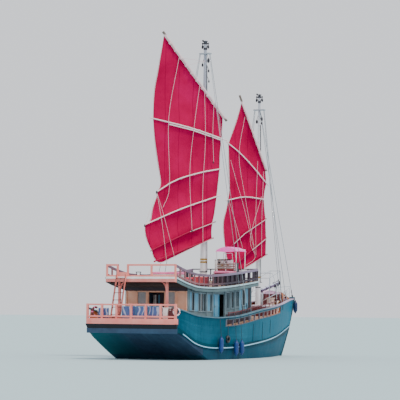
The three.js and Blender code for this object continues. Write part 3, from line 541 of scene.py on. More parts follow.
PALE_ROPE = plain_finish("laid_polyester_rope", ["#e0bcc4", "#f4dce0"], 0.8, scale=60)
DARK_ROPE = plain_finish("tarred_hemp_rope", ["#2a2a30", "#44444c"], 0.85, scale=60)
WIRE = plain_finish("galvanised_wire_rope", ["#9aa2ac", "#c0c6cc"], 0.45, 0.6, 40)
STEEL = plain_finish("polished_stainless_tube", ["#b8bcc2", "#dcdfe3"], 0.22, 0.9, 12)
BRASS = plain_finish("tarnished_brass", ["#9a7430", "#c79a48"], 0.35, 1.0, 14)
BRONZE = plain_finish("cast_bronze", ["#8a5f2c", "#b5803f"], 0.32, 1.0, 9)
# Opaque dark glass: painted shade of the rooms behind the windows.
GLASS = plain_finish("dark_window_glass_with_painted_shade", ["#141a20", "#28323a"], 0.1, scale=0.8, coat=0.5)
# Pale grey glass for the end windows.
PALE_GLASS = plain_finish("pale_grey_window_glass", ["#8c8c90", "#aca8aa"], 0.25, scale=1.2)
BLACK_VINYL = plain_finish("black_marine_vinyl", ["#1c1c22", "#2c2c34"], 0.45, scale=30)
DARK_FENDER = plain_finish("navy_moulded_vinyl", ["#0a2248", "#123464"], 0.4, scale=5)
FENDER_VINYL = plain_finish("blue_moulded_vinyl", ["#08306c", "#0e4a92"], 0.38, scale=5)
LAMP_LENS = plain_finish("frosted_lamp_lens", ["#e8ecf0", "#ffffff"], 0.3)
RING_FOAM = plain_finish("life_ring_foam_skin", ["#f4dce0", "#ffffff"], 0.5, scale=4)
print("finishes so far", len(bpy.data.materials))

# %% [markdown]
# ## Tools for shapes
#
# Five small tools make nearly every piece: `surface` moves the corners of a grid onto a shape, `skin` wraps
# a grid round rings of points, `tube` and `beam` make round and squared lengths, and `lathe` spins a
# profile. `keep` turns the mesh into an object that shades smoothly, rides on its body and, where it is
# told to, stands in for a node of the construction model. `eased` does the same with a copy of a solid.


# %% Points, grids and skins
def spot(a, y, z):
    """A point by its distance from the stern, its breadth and its height."""
    return Vector((a - MIDSHIPS, y, z))


def surface(mesh, cells, place, pattern=None, finish=0):
    """A grid of cells whose corners are moved to place(u, v), with UVs from pattern(u, v)."""
    verts = bmesh.ops.create_grid(mesh, x_segments=cells[0], y_segments=cells[1], size=0.5)["verts"]
    flat = {vert: (vert.co.x + 0.5, vert.co.y + 0.5) for vert in verts}
    faces = {face for vert in verts for face in vert.link_faces}
    layer = mesh.loops.layers.uv.verify()
    for face in faces:
        face.material_index = finish
        for loop in face.loops:
            loop[layer].uv = pattern(*flat[loop.vert]) if pattern else flat[loop.vert]
    for vert, (u, v) in flat.items():
        vert.co = place(u, v)
    return verts, faces


def skin(mesh, rings, finish=0):
    """A closed skin over rings of points that all have as many points, with its ends filled."""
    count, around = len(rings) - 1, len(rings[0])

    def place(u, v):
        return rings[round(u * count)][round(v * around) % around]

    verts, faces = surface(mesh, (count, around), place, finish=finish)
    bmesh.ops.remove_doubles(mesh, verts=verts, dist=1e-6)
    kept = [vert for vert in verts if vert.is_valid]
    rims = {edge for vert in kept for edge in vert.link_edges if edge.is_boundary}
    for face in bmesh.ops.holes_fill(mesh, edges=list(rims), sides=0)["faces"]:
        face.material_index = finish


# %% Rods, timbers and blocks
def tube(mesh, points, radius, sides=8):
    """A round rod or rope along points. radius is one number, or one for each point."""
    run = points[-1] - points[0]
    upright = FORWARD if abs(run.normalized().z) > 0.8 else UP
    rings = []
    for i, point in enumerate(points):
        way = (points[min(i + 1, len(points) - 1)] - points[max(i - 1, 0)]).normalized()
        aside = way.cross(upright).normalized()
        rise = aside.cross(way)
        size = radius[i] if isinstance(radius, (list, tuple)) else radius
        turns = [2 * math.pi * k / sides for k in range(sides)]
        rings.append([point + size * (math.cos(t) * aside + math.sin(t) * rise) for t in turns])
    skin(mesh, rings)


def ease_edges(mesh, edges, width, segments=1, clamp=False):
    """Bevels edges with one flat strip each, or with a rounder one of several segments."""
    bmesh.ops.bevel(
        mesh, geom=edges, offset=width, offset_type="OFFSET", segments=segments, profile=0.5,
        affect="EDGES", material=-1, clamp_overlap=clamp,
    )


def beam(mesh, start, end, width, height, ease=0.008):
    """A squared timber between two points, its height upright, with eased edges."""
    verts = bmesh.ops.create_cube(mesh, size=1)["verts"]
    run = end - start
    upright = FORWARD if abs(run.normalized().z) > 0.9 else UP
    aside = upright.cross(run.normalized()).normalized()
    rise = run.normalized().cross(aside)
    axes = Matrix((run, aside * width, rise * height)).transposed().to_4x4()
    bmesh.ops.transform(mesh, matrix=Matrix.Translation((start + end) / 2) @ axes, verts=verts)
    if ease:
        edges = {edge for vert in verts for edge in vert.link_edges}
        ease_edges(mesh, list(edges), ease)


def crossbeam(mesh, a, half, z, width, height, ease=0.008):
    """A squared timber across the ship, as far to one side as to the other."""
    beam(mesh, spot(a, -half, z), spot(a, half, z), width, height, ease)


def block(mesh, low, high, ease=0.008):
    """A squared block between two corners."""
    middle = (low + high) / 2
    start, end = Vector((low.x, middle.y, middle.z)), Vector((high.x, middle.y, middle.z))
    beam(mesh, start, end, high.y - low.y, high.z - low.z, ease)


# %% Turned shapes, rings and paths
def lathe(mesh, profile, centre, axis=UP, sides=20):
    """Spins a profile of radius and distance along the axis."""
    aim = UP.rotation_difference(axis).to_matrix()
    rings = []
    for radius, rise in profile:
        turns = [2 * math.pi * k / sides for k in range(sides)]
        offsets = [Vector((radius * math.cos(t), radius * math.sin(t), rise)) for t in turns]
        rings.append([centre + aim @ offset for offset in offsets])
    skin(mesh, rings)


def mirrored(half):
    """A turned profile that is the same at both ends, from one end in to its middle."""
    return [(radius, -rise) for radius, rise in half] + half[::-1]


def upright_ring(a, y0, y1, z0, z1):
    """The corners of an upright rectangle across the ship."""
    return [spot(a, y0, z0), spot(a, y1, z0), spot(a, y1, z1), spot(a, y0, z1)]


def oval_arc(centre, half_y, half_z, turns):
    """Points of an oval that faces fore and aft."""
    return [centre + Vector((0, half_y * math.cos(t), half_z * math.sin(t))) for t in turns]


def smooth_path(points, steps=6):
    """Points on a Catmull-Rom curve through the given ones."""
    ends = [2 * points[0] - points[1]] + list(points) + [2 * points[-1] - points[-2]]
    path = []
    for p, q, r, s in zip(ends, ends[1:], ends[2:], ends[3:]):
        square, cube = 2 * p - 5 * q + 4 * r - s, 3 * q - p - 3 * r + s
        for k in range(steps):
            t = k / steps
            path.append(0.5 * (2 * q + (r - p) * t + square * t**2 + cube * t**3))
    return path + [points[-1]]


# %% Finished pieces
BODY_OF = {node: body for body, group in frame["record"]["behaviour"]["bodies"].items() for node in group}


def keep(mesh, name, finishes, body="ship", replaces=(), corner=35):
    """Turns a bmesh into a finished piece that rides on its body."""
    bmesh.ops.recalc_face_normals(mesh, faces=mesh.faces)
    data = bpy.data.meshes.new(name)
    mesh.to_mesh(data)
    mesh.free()
    finishes = finishes if isinstance(finishes, list) else [finishes]
    for finish in finishes:
        data.materials.append(finish)
    data.shade_smooth()
    data.set_sharp_from_angle(angle=math.radians(corner))
    piece = bpy.data.objects.new(name, data)
    bpy.context.scene.collection.objects.link(piece)
    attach(piece, body)
    if replaces:
        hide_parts(*replaces)
    print(name, len(data.polygons), "faces")
    return piece


def thicken(piece, thickness):
    """Gives a sheet its thickness, half on each side."""
    layer = piece.modifiers.new("thickness", "SOLIDIFY")
    layer.thickness, layer.offset = thickness, 0


def eased(node, finish, ease=0.008, corner=30):
    """A merged copy of a construction solid with eased edges and its finish, shown in its place."""
    mesh = bmesh.new()
    mesh.from_mesh(frame["nodes"][node].data)
    bmesh.ops.remove_doubles(mesh, verts=mesh.verts, dist=1e-5)
    bmesh.ops.dissolve_limit(mesh, angle_limit=math.radians(0.5), verts=mesh.verts, edges=mesh.edges)
    if ease:
        limit = math.radians(corner)
        sharp = [e for e in mesh.edges if len(e.link_faces) == 2 and e.calc_face_angle() > limit]
        ease_edges(mesh, sharp, ease, 2, True)
    return keep(mesh, node + "_eased", finish, BODY_OF[node], [node], corner)


# %% [markdown]
# ## The ship's lines
#
# A hull is drawn as stations: the half breadth and height of the cap rail and of the wale, the height of
# the underside on the centreline, and how full the section is below the wale. They are the same numbers as
# in the construction model, in metres, so what is built on them lies against it. A monotone cubic runs
# through each column and never swings past its points, which keeps the sheer fair.

# %% Lines of the hull and the upper deck
HULL_START, HULL_END = 0.25, 20.6
BULWARK = 0.6
LINES = [
    [0.0, 2.75, 2.86, 2.69, 1.62, 1.57, 30],
    [1.0, 2.83, 2.69, 2.78, 1.27, 1.13, 30],
    [2.0, 2.9, 2.48, 2.84, 0.87, 0.69, 30],
    [2.9, 2.95, 2.4, 2.89, 0.68, 0.295, 30],
    [3.6, 2.985, 2.375, 2.915, 0.61, -0.012, 22],
    [4.5, 3.01, 2.345, 2.93, 0.575, -0.41, 9],
    [6.5, 3.04, 2.4, 2.95, 0.58, -0.76, 3.6],
    [8.5, 2.91, 2.56, 2.82, 0.65, -1.0, 2.9],
    [10.5, 2.69, 2.76, 2.59, 0.745, -1.1, 2.6],
    [12.5, 2.36, 2.895, 2.23, 0.85, -1.11, 2.3],
    [14.5, 1.93, 3.035, 1.77, 0.99, -1.05, 2.0],
    [16.5, 1.405, 3.19, 1.19, 1.16, -0.83, 1.7],
    [18.0, 0.95, 3.32, 0.7, 1.31, -0.43, 1.45],
    [19.0, 0.65, 3.4, 0.4, 1.43, 0.01, 1.3],
    [19.5, 0.5, 3.43, 0.22, 1.49, 0.68, 1.3],
    [20.0, 0.35, 3.45, 0.1, 1.56, 1.4, 1.3],
    [20.6, 0.15, 3.47, 0.06, 2.7, 2.62, 1.3],
]
CAP_B, CAP_Z, WALE_B, WALE_Z, KEEL_Z, FULL = range(1, 7)
ROOF_LINE = [[1.1, 4.52], [2.5, 4.22], [4.0, 4.03], [5.4, 4.01], [7.0, 4.07], [9.0, 4.21], [11.5, 4.44]]
ROOF_THICK = 0.12


# %% Heights and breadths at any distance from the stern
def along(table, column, a):
    """The value of a column at a distance from the stern, on a smooth curve through its points."""
    at = min(max(a, table[0][0]), table[-1][0])
    i = 0
    while i < len(table) - 2 and table[i + 1][0] < at:
        i += 1

    def rise(k):
        return (table[k + 1][column] - table[k][column]) / (table[k + 1][0] - table[k][0])

    def slope(k):
        if k in (0, len(table) - 1):
            return rise(min(k, len(table) - 2))
        before, after = rise(k - 1), rise(k)
        return 0 if before * after <= 0 else 2 * before * after / (before + after)

    width = table[i + 1][0] - table[i][0]
    t = (at - table[i][0]) / width
    start = table[i][column] * (1 + 2 * t) * (1 - t) ** 2 + slope(i) * width * t * (1 - t) ** 2
    return start + table[i + 1][column] * (3 - 2 * t) * t**2 - slope(i + 1) * width * (1 - t) * t**2


def cap_z(a):
    return along(LINES, CAP_Z, a)


def deck_z(a):
    return cap_z(a) - BULWARK


def roof_z(a):
    return along(ROOF_LINE, 1, a)


def soffit_z(a):
    """Height of the underside of the upper deck."""
    return roof_z(a) - ROOF_THICK


def side_b(a, z):
    """Half breadth of the flat upper side at a height."""
    foot_b, foot_z = along(LINES, WALE_B, a), along(LINES, WALE_Z, a)
    return foot_b + (along(LINES, CAP_B, a) - foot_b) * (z - foot_z) / (cap_z(a) - foot_z)


def on_side(a, side, proud, z):
    """A point on the upper side or proud of it. side is 1 to port and -1 to starboard."""
    return spot(a, side * (side_b(a, z) + proud), z)


def on_cap(a, side, inset, rise):
    """A point in from the cap rail's outer edge, and up from its top."""
    return spot(a, side * (along(LINES, CAP_B, a) - inset), cap_z(a) + rise)


def stations(start, end, pitch):
    count = max(1, round((end - start) / pitch))
    return [start + (end - start) * i / count for i in range(count + 1)]


# %% [markdown]
# ## Hull
#
# The shell is planked from the keel to the deck, with a flat counter that overhangs the stern. One grid
# makes it: its columns are stations and its rows go round the section from one deck edge to the other. The
# UV map counts metres along the ship and metres below the wale, so the planks' seams follow the sheer.

# %% Shell
UPPER_SHARE = 0.22  # of each half section's rows, above the wale
HULL_STATIONS = stations(HULL_START, HULL_END, 0.25)
ROUND_CELLS, DECK_CELLS = 48, 8  # of the shell's section, and across the deck
QUARTER_END, QUARTER_DEPTH = 0.95, 0.09


def quarter(a):
    """How far the side is rounded in towards the transom."""
    return QUARTER_DEPTH * max(0, (QUARTER_END - a) / (QUARTER_END - HULL_START)) ** 2


def shell_point(a, share):
    """A point of the section, from -1 at the starboard deck edge to 1 at the port one."""
    side, out = (1 if share > 0 else -1), abs(share)
    wale_b, wale_z = along(LINES, WALE_B, a), along(LINES, WALE_Z, a)
    if out > 1 - UPPER_SHARE:
        z = wale_z + (deck_z(a) - wale_z) * (out - 1 + UPPER_SHARE) / UPPER_SHARE
        return spot(a, side * (side_b(a, z) - quarter(a)), z)
    bend = out / (1 - UPPER_SHARE) * math.pi / 2
    power = 2 / along(LINES, FULL, a)
    drop = (wale_z - along(LINES, KEEL_Z, a)) * max(math.cos(bend), 0) ** power
    return spot(a, side * (wale_b - quarter(a)) * math.sin(bend) ** power, wale_z - drop)


def shell_pattern(a, share):
    point = shell_point(a, share)
    wale_b, wale_z = along(LINES, WALE_B, a), along(LINES, WALE_Z, a)
    below = point.z < wale_z - 1e-6
    return a, (-math.hypot(abs(point.y) - wale_b, point.z - wale_z) if below else point.z - wale_z)


shell = bmesh.new()
last = len(HULL_STATIONS) - 1
_, planked = surface(
    shell, (last, ROUND_CELLS),
    lambda u, v: shell_point(HULL_STATIONS[round(u * last)], 2 * v - 1),
    lambda u, v: shell_pattern(HULL_STATIONS[round(u * last)], 2 * v - 1),
)
COUNTER_END = 2.95
# Faces below the wale take painted shade: near-black aft of COUNTER_END, a darker teal forward of it.
for face in planked:
    middle = face.calc_center_median()
    a = middle.x + MIDSHIPS
    if middle.z < along(LINES, WALE_Z, a) - 0.01:
        face.material_index = 2 if a < COUNTER_END else 3


def deck_point(u, v):
    a = HULL_STATIONS[round(u * last)]
    return spot(a, (2 * v - 1) * (side_b(a, deck_z(a)) - quarter(a)), deck_z(a))


surface(shell, (last, DECK_CELLS), deck_point, finish=1)
bmesh.ops.remove_doubles(shell, verts=shell.verts, dist=1e-5)
ends = [edge for edge in shell.edges if edge.is_boundary]
# The filled end at the transom takes the counter's painted shade; the one at the bow is teal.
for face in bmesh.ops.holes_fill(shell, edges=ends, sides=0)["faces"]:
    face.material_index = 2 if face.calc_center_median().x < 0 else 0
keep(shell, "hull_planking", [TEAL_ENAMEL, DECK, COUNTER_SHADE_ENAMEL, LOW_SHADE_ENAMEL], replaces=["hull"], corner=30)

# %% Keel and stem
KEEL_HALF = 0.09
BACKBONE = [
    (5.4, -1.5), (5.4, -0.2), (16.0, -0.2), (18.3, 0.3), (19.25, 0.9), (20.35, 2.9), (20.45, 3.56),
    (21.0, 3.56), (20.94, 3.3), (20.6, 2.52), (20.12, 1.52), (19.45, 0.48), (19.08, -0.04), (18.5, -0.56),
    (17.6, -1.02), (16.4, -1.37), (15.0, -1.56), (13.8, -1.62), (3.45, -1.62), (3.45, -1.5),
]
keel = bmesh.new()
outline = [keel.verts.new(spot(a, -KEEL_HALF, z)) for a, z in BACKBONE]
flat_side = keel.faces.new(outline)
grown = bmesh.ops.extrude_face_region(keel, geom=[flat_side])["geom"]
bmesh.ops.translate(
    keel, vec=(0, 2 * KEEL_HALF, 0), verts=[item for item in grown if isinstance(item, bmesh.types.BMVert)]
)
bmesh.ops.recalc_face_normals(keel, faces=keel.faces)
ease_edges(keel, keel.edges[:], 0.018, 2, True)
block(keel, spot(4.075, -0.075, -0.49), spot(4.225, 0.075, -0.2))
keep(keel, "keel_and_stem", WALE_ENAMEL)

# %% [markdown]
# ## Wale and stripe
#
# The wale is a thick strake that takes the knocks of quays. It is a shade darker than the side, and its
# face carries a narrow pale stripe that climbs a little towards the bow. The stripe is a thin moulding,
# 12 mm proud, so that it casts its own small shadow.

# %% Wale and stripe
WALE_OUT = 0.06
STRIPE_PAINT = house_paint("light_blue_stripe_paint", ["#8cccf0", "#aadcf6"], "#6ca4c4", 0.45)
TRANSOM_HALF = 2.76
# Slate blue on the wale across the transom, under the platform: painted shade.
TRANSOM_WALE_SHADE = house_paint("slate_blue_painted_shade_on_transom_wale", ["#1c3c5a", "#284c6c"], "#142c46", 0.45)
wale_piece = eased("wale", WALE_ENAMEL, 0.02)
wale_piece.data.materials.append(TRANSOM_WALE_SHADE)
# The wale's faces across the transom take the slate blue painted shade.
for face in wale_piece.data.polygons:
    if face.center.x < HULL_START - MIDSHIPS + 0.01 and abs(face.center.y) < TRANSOM_HALF:
        face.material_index = 1


def side_moulding(mesh, rows, place, section, finish=0):
    """Sweeps a section of (out, up) offsets along both sides. place(a) gives breadth and height."""
    for side in (-1, 1):
        rings = []
        for a in rows:
            breadth, height = place(a)
            rings.append([spot(a, side * (breadth + out), height + rise) for out, rise in section])
        skin(mesh, rings, finish)


STRIPE_RISE = [(6.0, 0.08), (16.0, 0.235)]  # the stripe climbs the wale's face towards the bow


def stripe_line(a):
    """Breadth and height of the stripe, which keeps on the wale's face."""
    z = along(LINES, WALE_Z, a) + along(STRIPE_RISE, 1, a)
    return side_b(a, z) + WALE_OUT, z


STRIPE_SECTION = [
    (-0.07, -0.035), (0.004, -0.035), (0.012, -0.027), (0.012, 0.016), (0.004, 0.024), (-0.07, 0.024),
]
stripe = bmesh.new()
side_moulding(stripe, stations(0.75, 19.95, 0.25), stripe_line, STRIPE_SECTION)
keep(stripe, "wale_stripe", STRIPE_PAINT)

# %% [markdown]
# ## Bulwarks
#
# The bulwark stands on the deck edge and carries the cap rail. Amidships it is open in twelve bays, so that
# water runs off the deck. It is one sheet of faces: the bays' faces are deleted, and Solidify gives what
# is left its thickness, reveals and all. Outside it is enamelled like the hull; inside it is varnished, and
# the posts between the bays are painted, grey aft and pale forward.

# %% Bulwarks
SLOT_START, SLOT_END, SLOT_COUNT, SLOT_POST = 5.6, 15.6, 12, 0.09
SLOT_PITCH = (SLOT_END - SLOT_START) / SLOT_COUNT
BULWARK_THICK = 0.08
CAP_THICK = 0.06
BAY_FOOT, BAY_HEAD = 0.1, 0.11  # from the deck to the bays, and from them to the cap
slot_edges = [SLOT_START + i * SLOT_PITCH + side for i in range(SLOT_COUNT) for side in (0, SLOT_POST)]
bulwark_rows = sorted(set(stations(HULL_START, SLOT_START - 0.25, 0.25) + slot_edges + [SLOT_END]
                          + [e + 0.42 for e in slot_edges[1::2]] + stations(SLOT_END + 0.25, 20.45, 0.25)))


def bulwark_point(side, a, row):
    foot, top = deck_z(a), cap_z(a) - CAP_THICK
    z = [foot, foot + BAY_FOOT, top - BAY_HEAD, top][row]
    leaning = a + (0.2 * (z - foot) / (top - foot) if a == HULL_START else 0)
    return spot(leaning, side * (side_b(a, z) - quarter(a)), z)


BAY_POST = house_paint(
    "pale_pink_oil_paint_on_posts", ["#5a5464", "#726c7c"], "#4c4450", 0.55
)
tint_along(BAY_POST, "X", "#f0b8a8", 0.8, 4.6)
BAY_FRAME = house_paint(
    "grey_green_oil_paint_on_frame", ["#3c525e", "#4e6672"], "#303e48", 0.55
)
for side, name in ((1, "port"), (-1, "starboard")):
    bulwark = bmesh.new()
    count = len(bulwark_rows) - 1
    surface(
        bulwark, (count, 3),
        lambda u, v: bulwark_point(side, bulwark_rows[round(u * count)], round(v * 3)),
        lambda u, v: (bulwark_rows[round(u * count)], 2 + v * BULWARK),
    )
    bays = []
    for face in bulwark.faces:
        middle = face.calc_center_median()
        a = middle.x + MIDSHIPS
        in_row = deck_z(a) + BAY_FOOT < middle.z < cap_z(a) - CAP_THICK - BAY_HEAD
        in_band = SLOT_START < a < SLOT_END
        if in_row and in_band and (a - SLOT_START) % SLOT_PITCH > SLOT_POST:
            bays.append(face)
        elif in_row and in_band:
            face.material_index = 2
    bmesh.ops.delete(bulwark, geom=bays, context="FACES")
    bmesh.ops.recalc_face_normals(bulwark, faces=bulwark.faces)
    inward = sum(face.normal.y for face in bulwark.faces) * side < 0
    if inward:
        bmesh.ops.reverse_faces(bulwark, faces=bulwark.faces)
    bmesh.ops.solidify(bulwark, geom=bulwark.faces, thickness=BULWARK_THICK)
    for face in bulwark.faces:
        if face.material_index == 0 and face.normal.y * side < 0.3:
            face.material_index = 1
    paints = [TEAL_ENAMEL, ORANGE_PLANK, BAY_POST]
    keep(bulwark, f"bulwark_{name}_planks", paints, replaces=[f"bulwark_{name}"])

# %% Frame round the row of bays
FRAME_ENDS = (SLOT_START - 0.05, SLOT_END + 0.05)
trim = bmesh.new()
for height in (0.075, -CAP_THICK - 0.095):
    base = deck_z if height > 0 else cap_z

    def edge_of_bays(a):
        z = base(a) + height
        return side_b(a, z), z

    side_moulding(
        trim, stations(*FRAME_ENDS, 0.25), edge_of_bays,
        [(-0.03, -0.022), (0.018, -0.022), (0.018, 0.022), (-0.03, 0.022)],
    )
for side in (-1, 1):
    for a in FRAME_ENDS:
        low, high = deck_z(a) + 0.05, cap_z(a) - CAP_THICK - 0.07
        beam(trim, on_side(a, side, 0.005, low), on_side(a, side, 0.005, high), 0.035, 0.06)
keep(trim, "bay_frames", BAY_FRAME)

# %% [markdown]
# ## Cap rail and rails at the stern
#
# The cap is a thick board laid flat on the bulwark, grey and worn by hands aft, pale towards the bow. The
# solids of the model have the right shape, so a merged copy with eased edges is enough. The same goes for
# the stern platform and its rail, whose salmon paint is the first thing that one sees.

# %% Cap rail
tint_along(CAP_PAINT, "X", "#ccaecc", 0.5, 6.0, 0.85)
eased("cap_rail", CAP_PAINT, 0.015)

# %% Low handrail on the cap
handrail = bmesh.new()
HAND_START, HAND_END, HAND_INSET, HAND_RISE = 6.2, 14.9, 0.165, 0.2
HAND_SECTION = ((-0.03, -0.025), (0.03, -0.025), (0.03, 0.025), (-0.03, 0.025))
for side in (-1, 1):
    for a in stations(HAND_START, HAND_END, 0.87):
        foot = on_cap(a, side, HAND_INSET, -0.005)
        beam(handrail, foot, foot + UP * HAND_RISE, 0.035, 0.035, 0.004)
    rings = []
    for a in stations(HAND_START - 0.1, HAND_END + 0.1, 0.3):
        middle = on_cap(a, side, HAND_INSET, HAND_RISE)
        rings.append([middle + Vector((0, y, z)) for y, z in HAND_SECTION])
    skin(handrail, rings)
keep(handrail, "cap_handrails", MAROON)

# %% Stern platform and rail
eased("stern_platform", SALMON, 0.02)
eased("stern_rail", SALMON, 0.012)
stern = bmesh.new()
block(stern, spot(-0.002, -2.69, 2.19), spot(0.03, 2.69, 2.225), 0.006)
crossbeam(stern, 0.012, 2.68, 1.975, 0.026, 0.05, 0.006)
keep(stern, "platform_beading", SALMON)
# Near-black on the apron under the platform: painted shade.
APRON_SHADE_PAINT = house_paint("near_black_painted_shade_on_apron", ["#070a14", "#0d1220"], "#05070e", 0.7)
# Distance from the stern, share of the breadth, and height
APRON_SECTION = ((0.03, 1, 1.938), (0.245, 1, 1.938), (0.245, 0.985, 1.702), (0.188, 0.985, 1.702))
apron = bmesh.new()
skin(apron, [[spot(a, y * share, z) for a, share, z in APRON_SECTION] for y in (-2.79, 0, 2.79)])
keep(apron, "stern_apron", APRON_SHADE_PAINT)

# %% [markdown]
# ## Cabin
#
# The deck house is framed in posts with painted boards between them. Each window is a sliding sash: a
# frame, a mullion, dark glass, and on some a light blue shutter. Glass panes are drawn opaque and dark, as
# a window is from far off by day: painted shade of the rooms behind. Each door leaf has stiles, rails and
# sunk panels, and rides on its hinge.

# %% Walls
for node, finish in (
    ("cabin_wall_port", CABIN_PAINT), ("cabin_wall_starboard", CABIN_PAINT),
    ("cabin_wall_front", CABIN_PAINT), ("cabin_wall_aft", TAN_PANEL),
):
    eased(node, finish, 0.005)
for name in ("port", "starboard"):
    eased(f"pillar_{name}", SALMON, 0.012)

# %% Side windows, shutters and posts
CABIN_AFT, CABIN_FRONT, CABIN_HALF, WALL = 3.0, 11.0, 1.9, 0.06
# Distance from the stern of each window's aft edge, and its width
SIDE_WINDOWS = [(3.25, 0.6), (4.35, 0.9), (5.4, 0.6), (7.8, 0.42), (8.35, 0.42), (9.0, 0.42), (9.85, 0.34)]
WINDOW_FOOT, WINDOW_TOP = 0.9, 0.26
MULLIONS = (3.56, 4.6, 5.0, 5.79, 8.05, 8.5, 9.21)
SHUTTERS = ((3.275, 0.27), (5.425, 0.35))
BLUE_BOARDS = ((3.87, 0.43, WINDOW_FOOT), (9.48, 0.32, 0.05), (10.22, 0.35, 0.05))  # aft edge, width, foot
DARK_BOARDS = ((10.64, 0.26, 0.05),)
WALL_POSTS = (3.03, 5.32, 6.08, 7.62, 8.88, 10.96)
# Dark skirting low on the cabin sides: painted shade seen through the bays of the bulwark.
SKIRTING = ((3.08, 6.1), (7.67, 10.92))
SKIRTING_SECTION = ((0.001, 0.01), (0.022, 0.01), (0.022, 0.58), (0.001, 0.6))


def wall_board(mesh, side, a, width, foot, proud):
    """A board on the wall's face from a height above the deck to below the roof."""
    y0, y1 = sorted((side * (CABIN_HALF + 0.001), side * (CABIN_HALF + proud)))
    top = soffit_z(a + width / 2) - WINDOW_TOP
    block(mesh, spot(a, y0, deck_z(a) + foot), spot(a + width, y1, top), 0.005)


def window_span(a):
    """Heights of a window's foot and head."""
    return deck_z(a) + WINDOW_FOOT, soffit_z(a) - WINDOW_TOP


frames, panes, shutters = bmesh.new(), bmesh.new(), bmesh.new()
dark_boards, skirting = bmesh.new(), bmesh.new()
for side in (-1, 1):
    face_y = side * CABIN_HALF
    proud_y = face_y + side * 0.012
    for a, width in SIDE_WINDOWS:
        low, high = window_span(a)
        for x in (a, a + width):
            beam(frames, spot(x, proud_y, low - 0.04), spot(x, proud_y, high + 0.04), 0.05, 0.045, 0.006)
        for z in (low, high):
            beam(frames, spot(a, proud_y, z), spot(a + width, proud_y, z), 0.05, 0.05, 0.006)
        for x in MULLIONS:
            if a < x < a + width:
                y = face_y - side * 0.006
                beam(frames, spot(x, y, low), spot(x, y, high), 0.045, 0.035, 0.004)
        y0, y1 = sorted((face_y - side * 0.034, face_y - side * 0.026))
        block(panes, spot(a + 0.01, y0, low + 0.005), spot(a + width - 0.01, y1, high - 0.005), 0)
    for a, width in SHUTTERS:
        low, high = window_span(a)
        y0, y1 = sorted((face_y - side * 0.02, face_y + side * 0.004))
        block(shutters, spot(a, y0, low + 0.025), spot(a + width, y1, high - 0.025), 0.005)
    for a, width, foot in BLUE_BOARDS:
        wall_board(shutters, side, a, width, foot, 0.014)
    for a, width, foot in DARK_BOARDS:
        wall_board(dark_boards, side, a, width, foot, 0.012)
    for a in WALL_POSTS:
        y = face_y + side * 0.015
        beam(frames, spot(a, y, deck_z(a) + 0.02), spot(a, y, soffit_z(a) - 0.02), 0.09, 0.05, 0.008)
    for start, end in SKIRTING:
        skin(skirting, [
            [spot(a, face_y + side * out, deck_z(a) + up) for out, up in SKIRTING_SECTION]
            for a in stations(start, end, 0.4)
        ])
    for offset, thick in ((0.02, 0.05), (0.2, 0.03)):
        rings = []
        for a in stations(CABIN_AFT, CABIN_FRONT, 0.4):
            z = soffit_z(a) - offset
            inner, outer = side * (CABIN_HALF + 0.001), side * (CABIN_HALF + 0.03)
            rings.append(upright_ring(a, inner, outer, z - thick, z))
        skin(frames, rings)
FRAME_PAINT = house_paint("grey_oil_paint_on_sashes", ["#6c8490", "#8498a2"], "#5c666a", 0.55)
keep(frames, "window_frames", FRAME_PAINT)
keep(panes, "window_panes", GLASS)
keep(shutters, "window_shutters", BLUE_PAINT)
keep(dark_boards, "dark_wall_boards", DARK_STAIN_AND_SHADE)
keep(skirting, "cabin_skirting_painted_shade", DARK_STAIN_AND_SHADE)

# %% Aft and front windows, with the aft wall's posts
END_INNER, END_OUTER = 0.62, 1.18  # distance of a window's sides from the centreline
aft_frames, end_panes = bmesh.new(), bmesh.new()
for wall_a, inside, out in ((CABIN_AFT, CABIN_AFT, -1), (CABIN_FRONT, CABIN_FRONT - WALL, 1)):
    low, high = window_span(inside)
    face_a = wall_a + out * 0.012
    for side in (-1, 1):
        for y in (END_INNER, END_OUTER):
            ends = [spot(face_a, side * y, z) for z in (low - 0.04, high + 0.04)]
            beam(aft_frames, *ends, 0.045, 0.05, 0.006)
        for z in (low, high):
            ends = [spot(face_a, side * y, z) for y in (END_INNER, END_OUTER)]
            beam(aft_frames, *ends, 0.05, 0.05, 0.006)
        y0, y1 = sorted((side * (END_INNER + 0.005), side * (END_OUTER - 0.005)))
        a0, a1 = sorted((wall_a - out * 0.034, wall_a - out * 0.026))
        block(end_panes, spot(a0, y0, low), spot(a1, y1, high), 0)
POST_A, POST_HALF = CABIN_AFT - 0.015, 1.86
for y in (-POST_HALF, -1.22, -0.56, 0.56, 1.22, POST_HALF):
    foot, head = spot(POST_A, y, deck_z(CABIN_AFT) + 0.01), spot(POST_A, y, soffit_z(CABIN_AFT) - 0.02)
    beam(aft_frames, foot, head, 0.08, 0.05)
crossbeam(aft_frames, POST_A, POST_HALF, 3.74, 0.05, 0.09)
keep(aft_frames, "end_window_frames", TAN_PANEL)
keep(end_panes, "end_window_panes", PALE_GLASS)
# A dark header across the top of the aft wall: painted shade under the overhang.
header = bmesh.new()
block(header, spot(CABIN_AFT - 0.07, -1.93, 3.76),
      spot(CABIN_AFT - 0.002, 1.93, soffit_z(CABIN_AFT) - 0.01))
keep(header, "aft_wall_header_painted_shade", DARK_STAIN_AND_SHADE)
# The saloon screen's dark boards are painted shade of the room behind the aft doorway.
SCREEN = 3.75
screen_foot, screen_top = deck_z(SCREEN) + 0.003, soffit_z(SCREEN) - 0.02
partition, pale_strips, blue_strip = bmesh.new(), bmesh.new(), bmesh.new()
block(partition, spot(SCREEN, -0.1, screen_foot), spot(SCREEN + 0.04, 1.83, screen_top), 0.004)
for y, strip in ((0.57, pale_strips), (0.44, pale_strips), (0.22, blue_strip)):
    low = spot(SCREEN - 0.02, y - 0.05, screen_foot + 0.3)
    block(strip, low, spot(SCREEN + 0.002, y + 0.05, screen_top - 0.35), 0.004)
keep(partition, "saloon_screen", DARK_STAIN_AND_SHADE)
keep(pale_strips, "saloon_screen_posts", CREAM_PAINT)
keep(blue_strip, "saloon_screen_panel", BLUE_PAINT)

# %% Doors
LEAF = 0.036


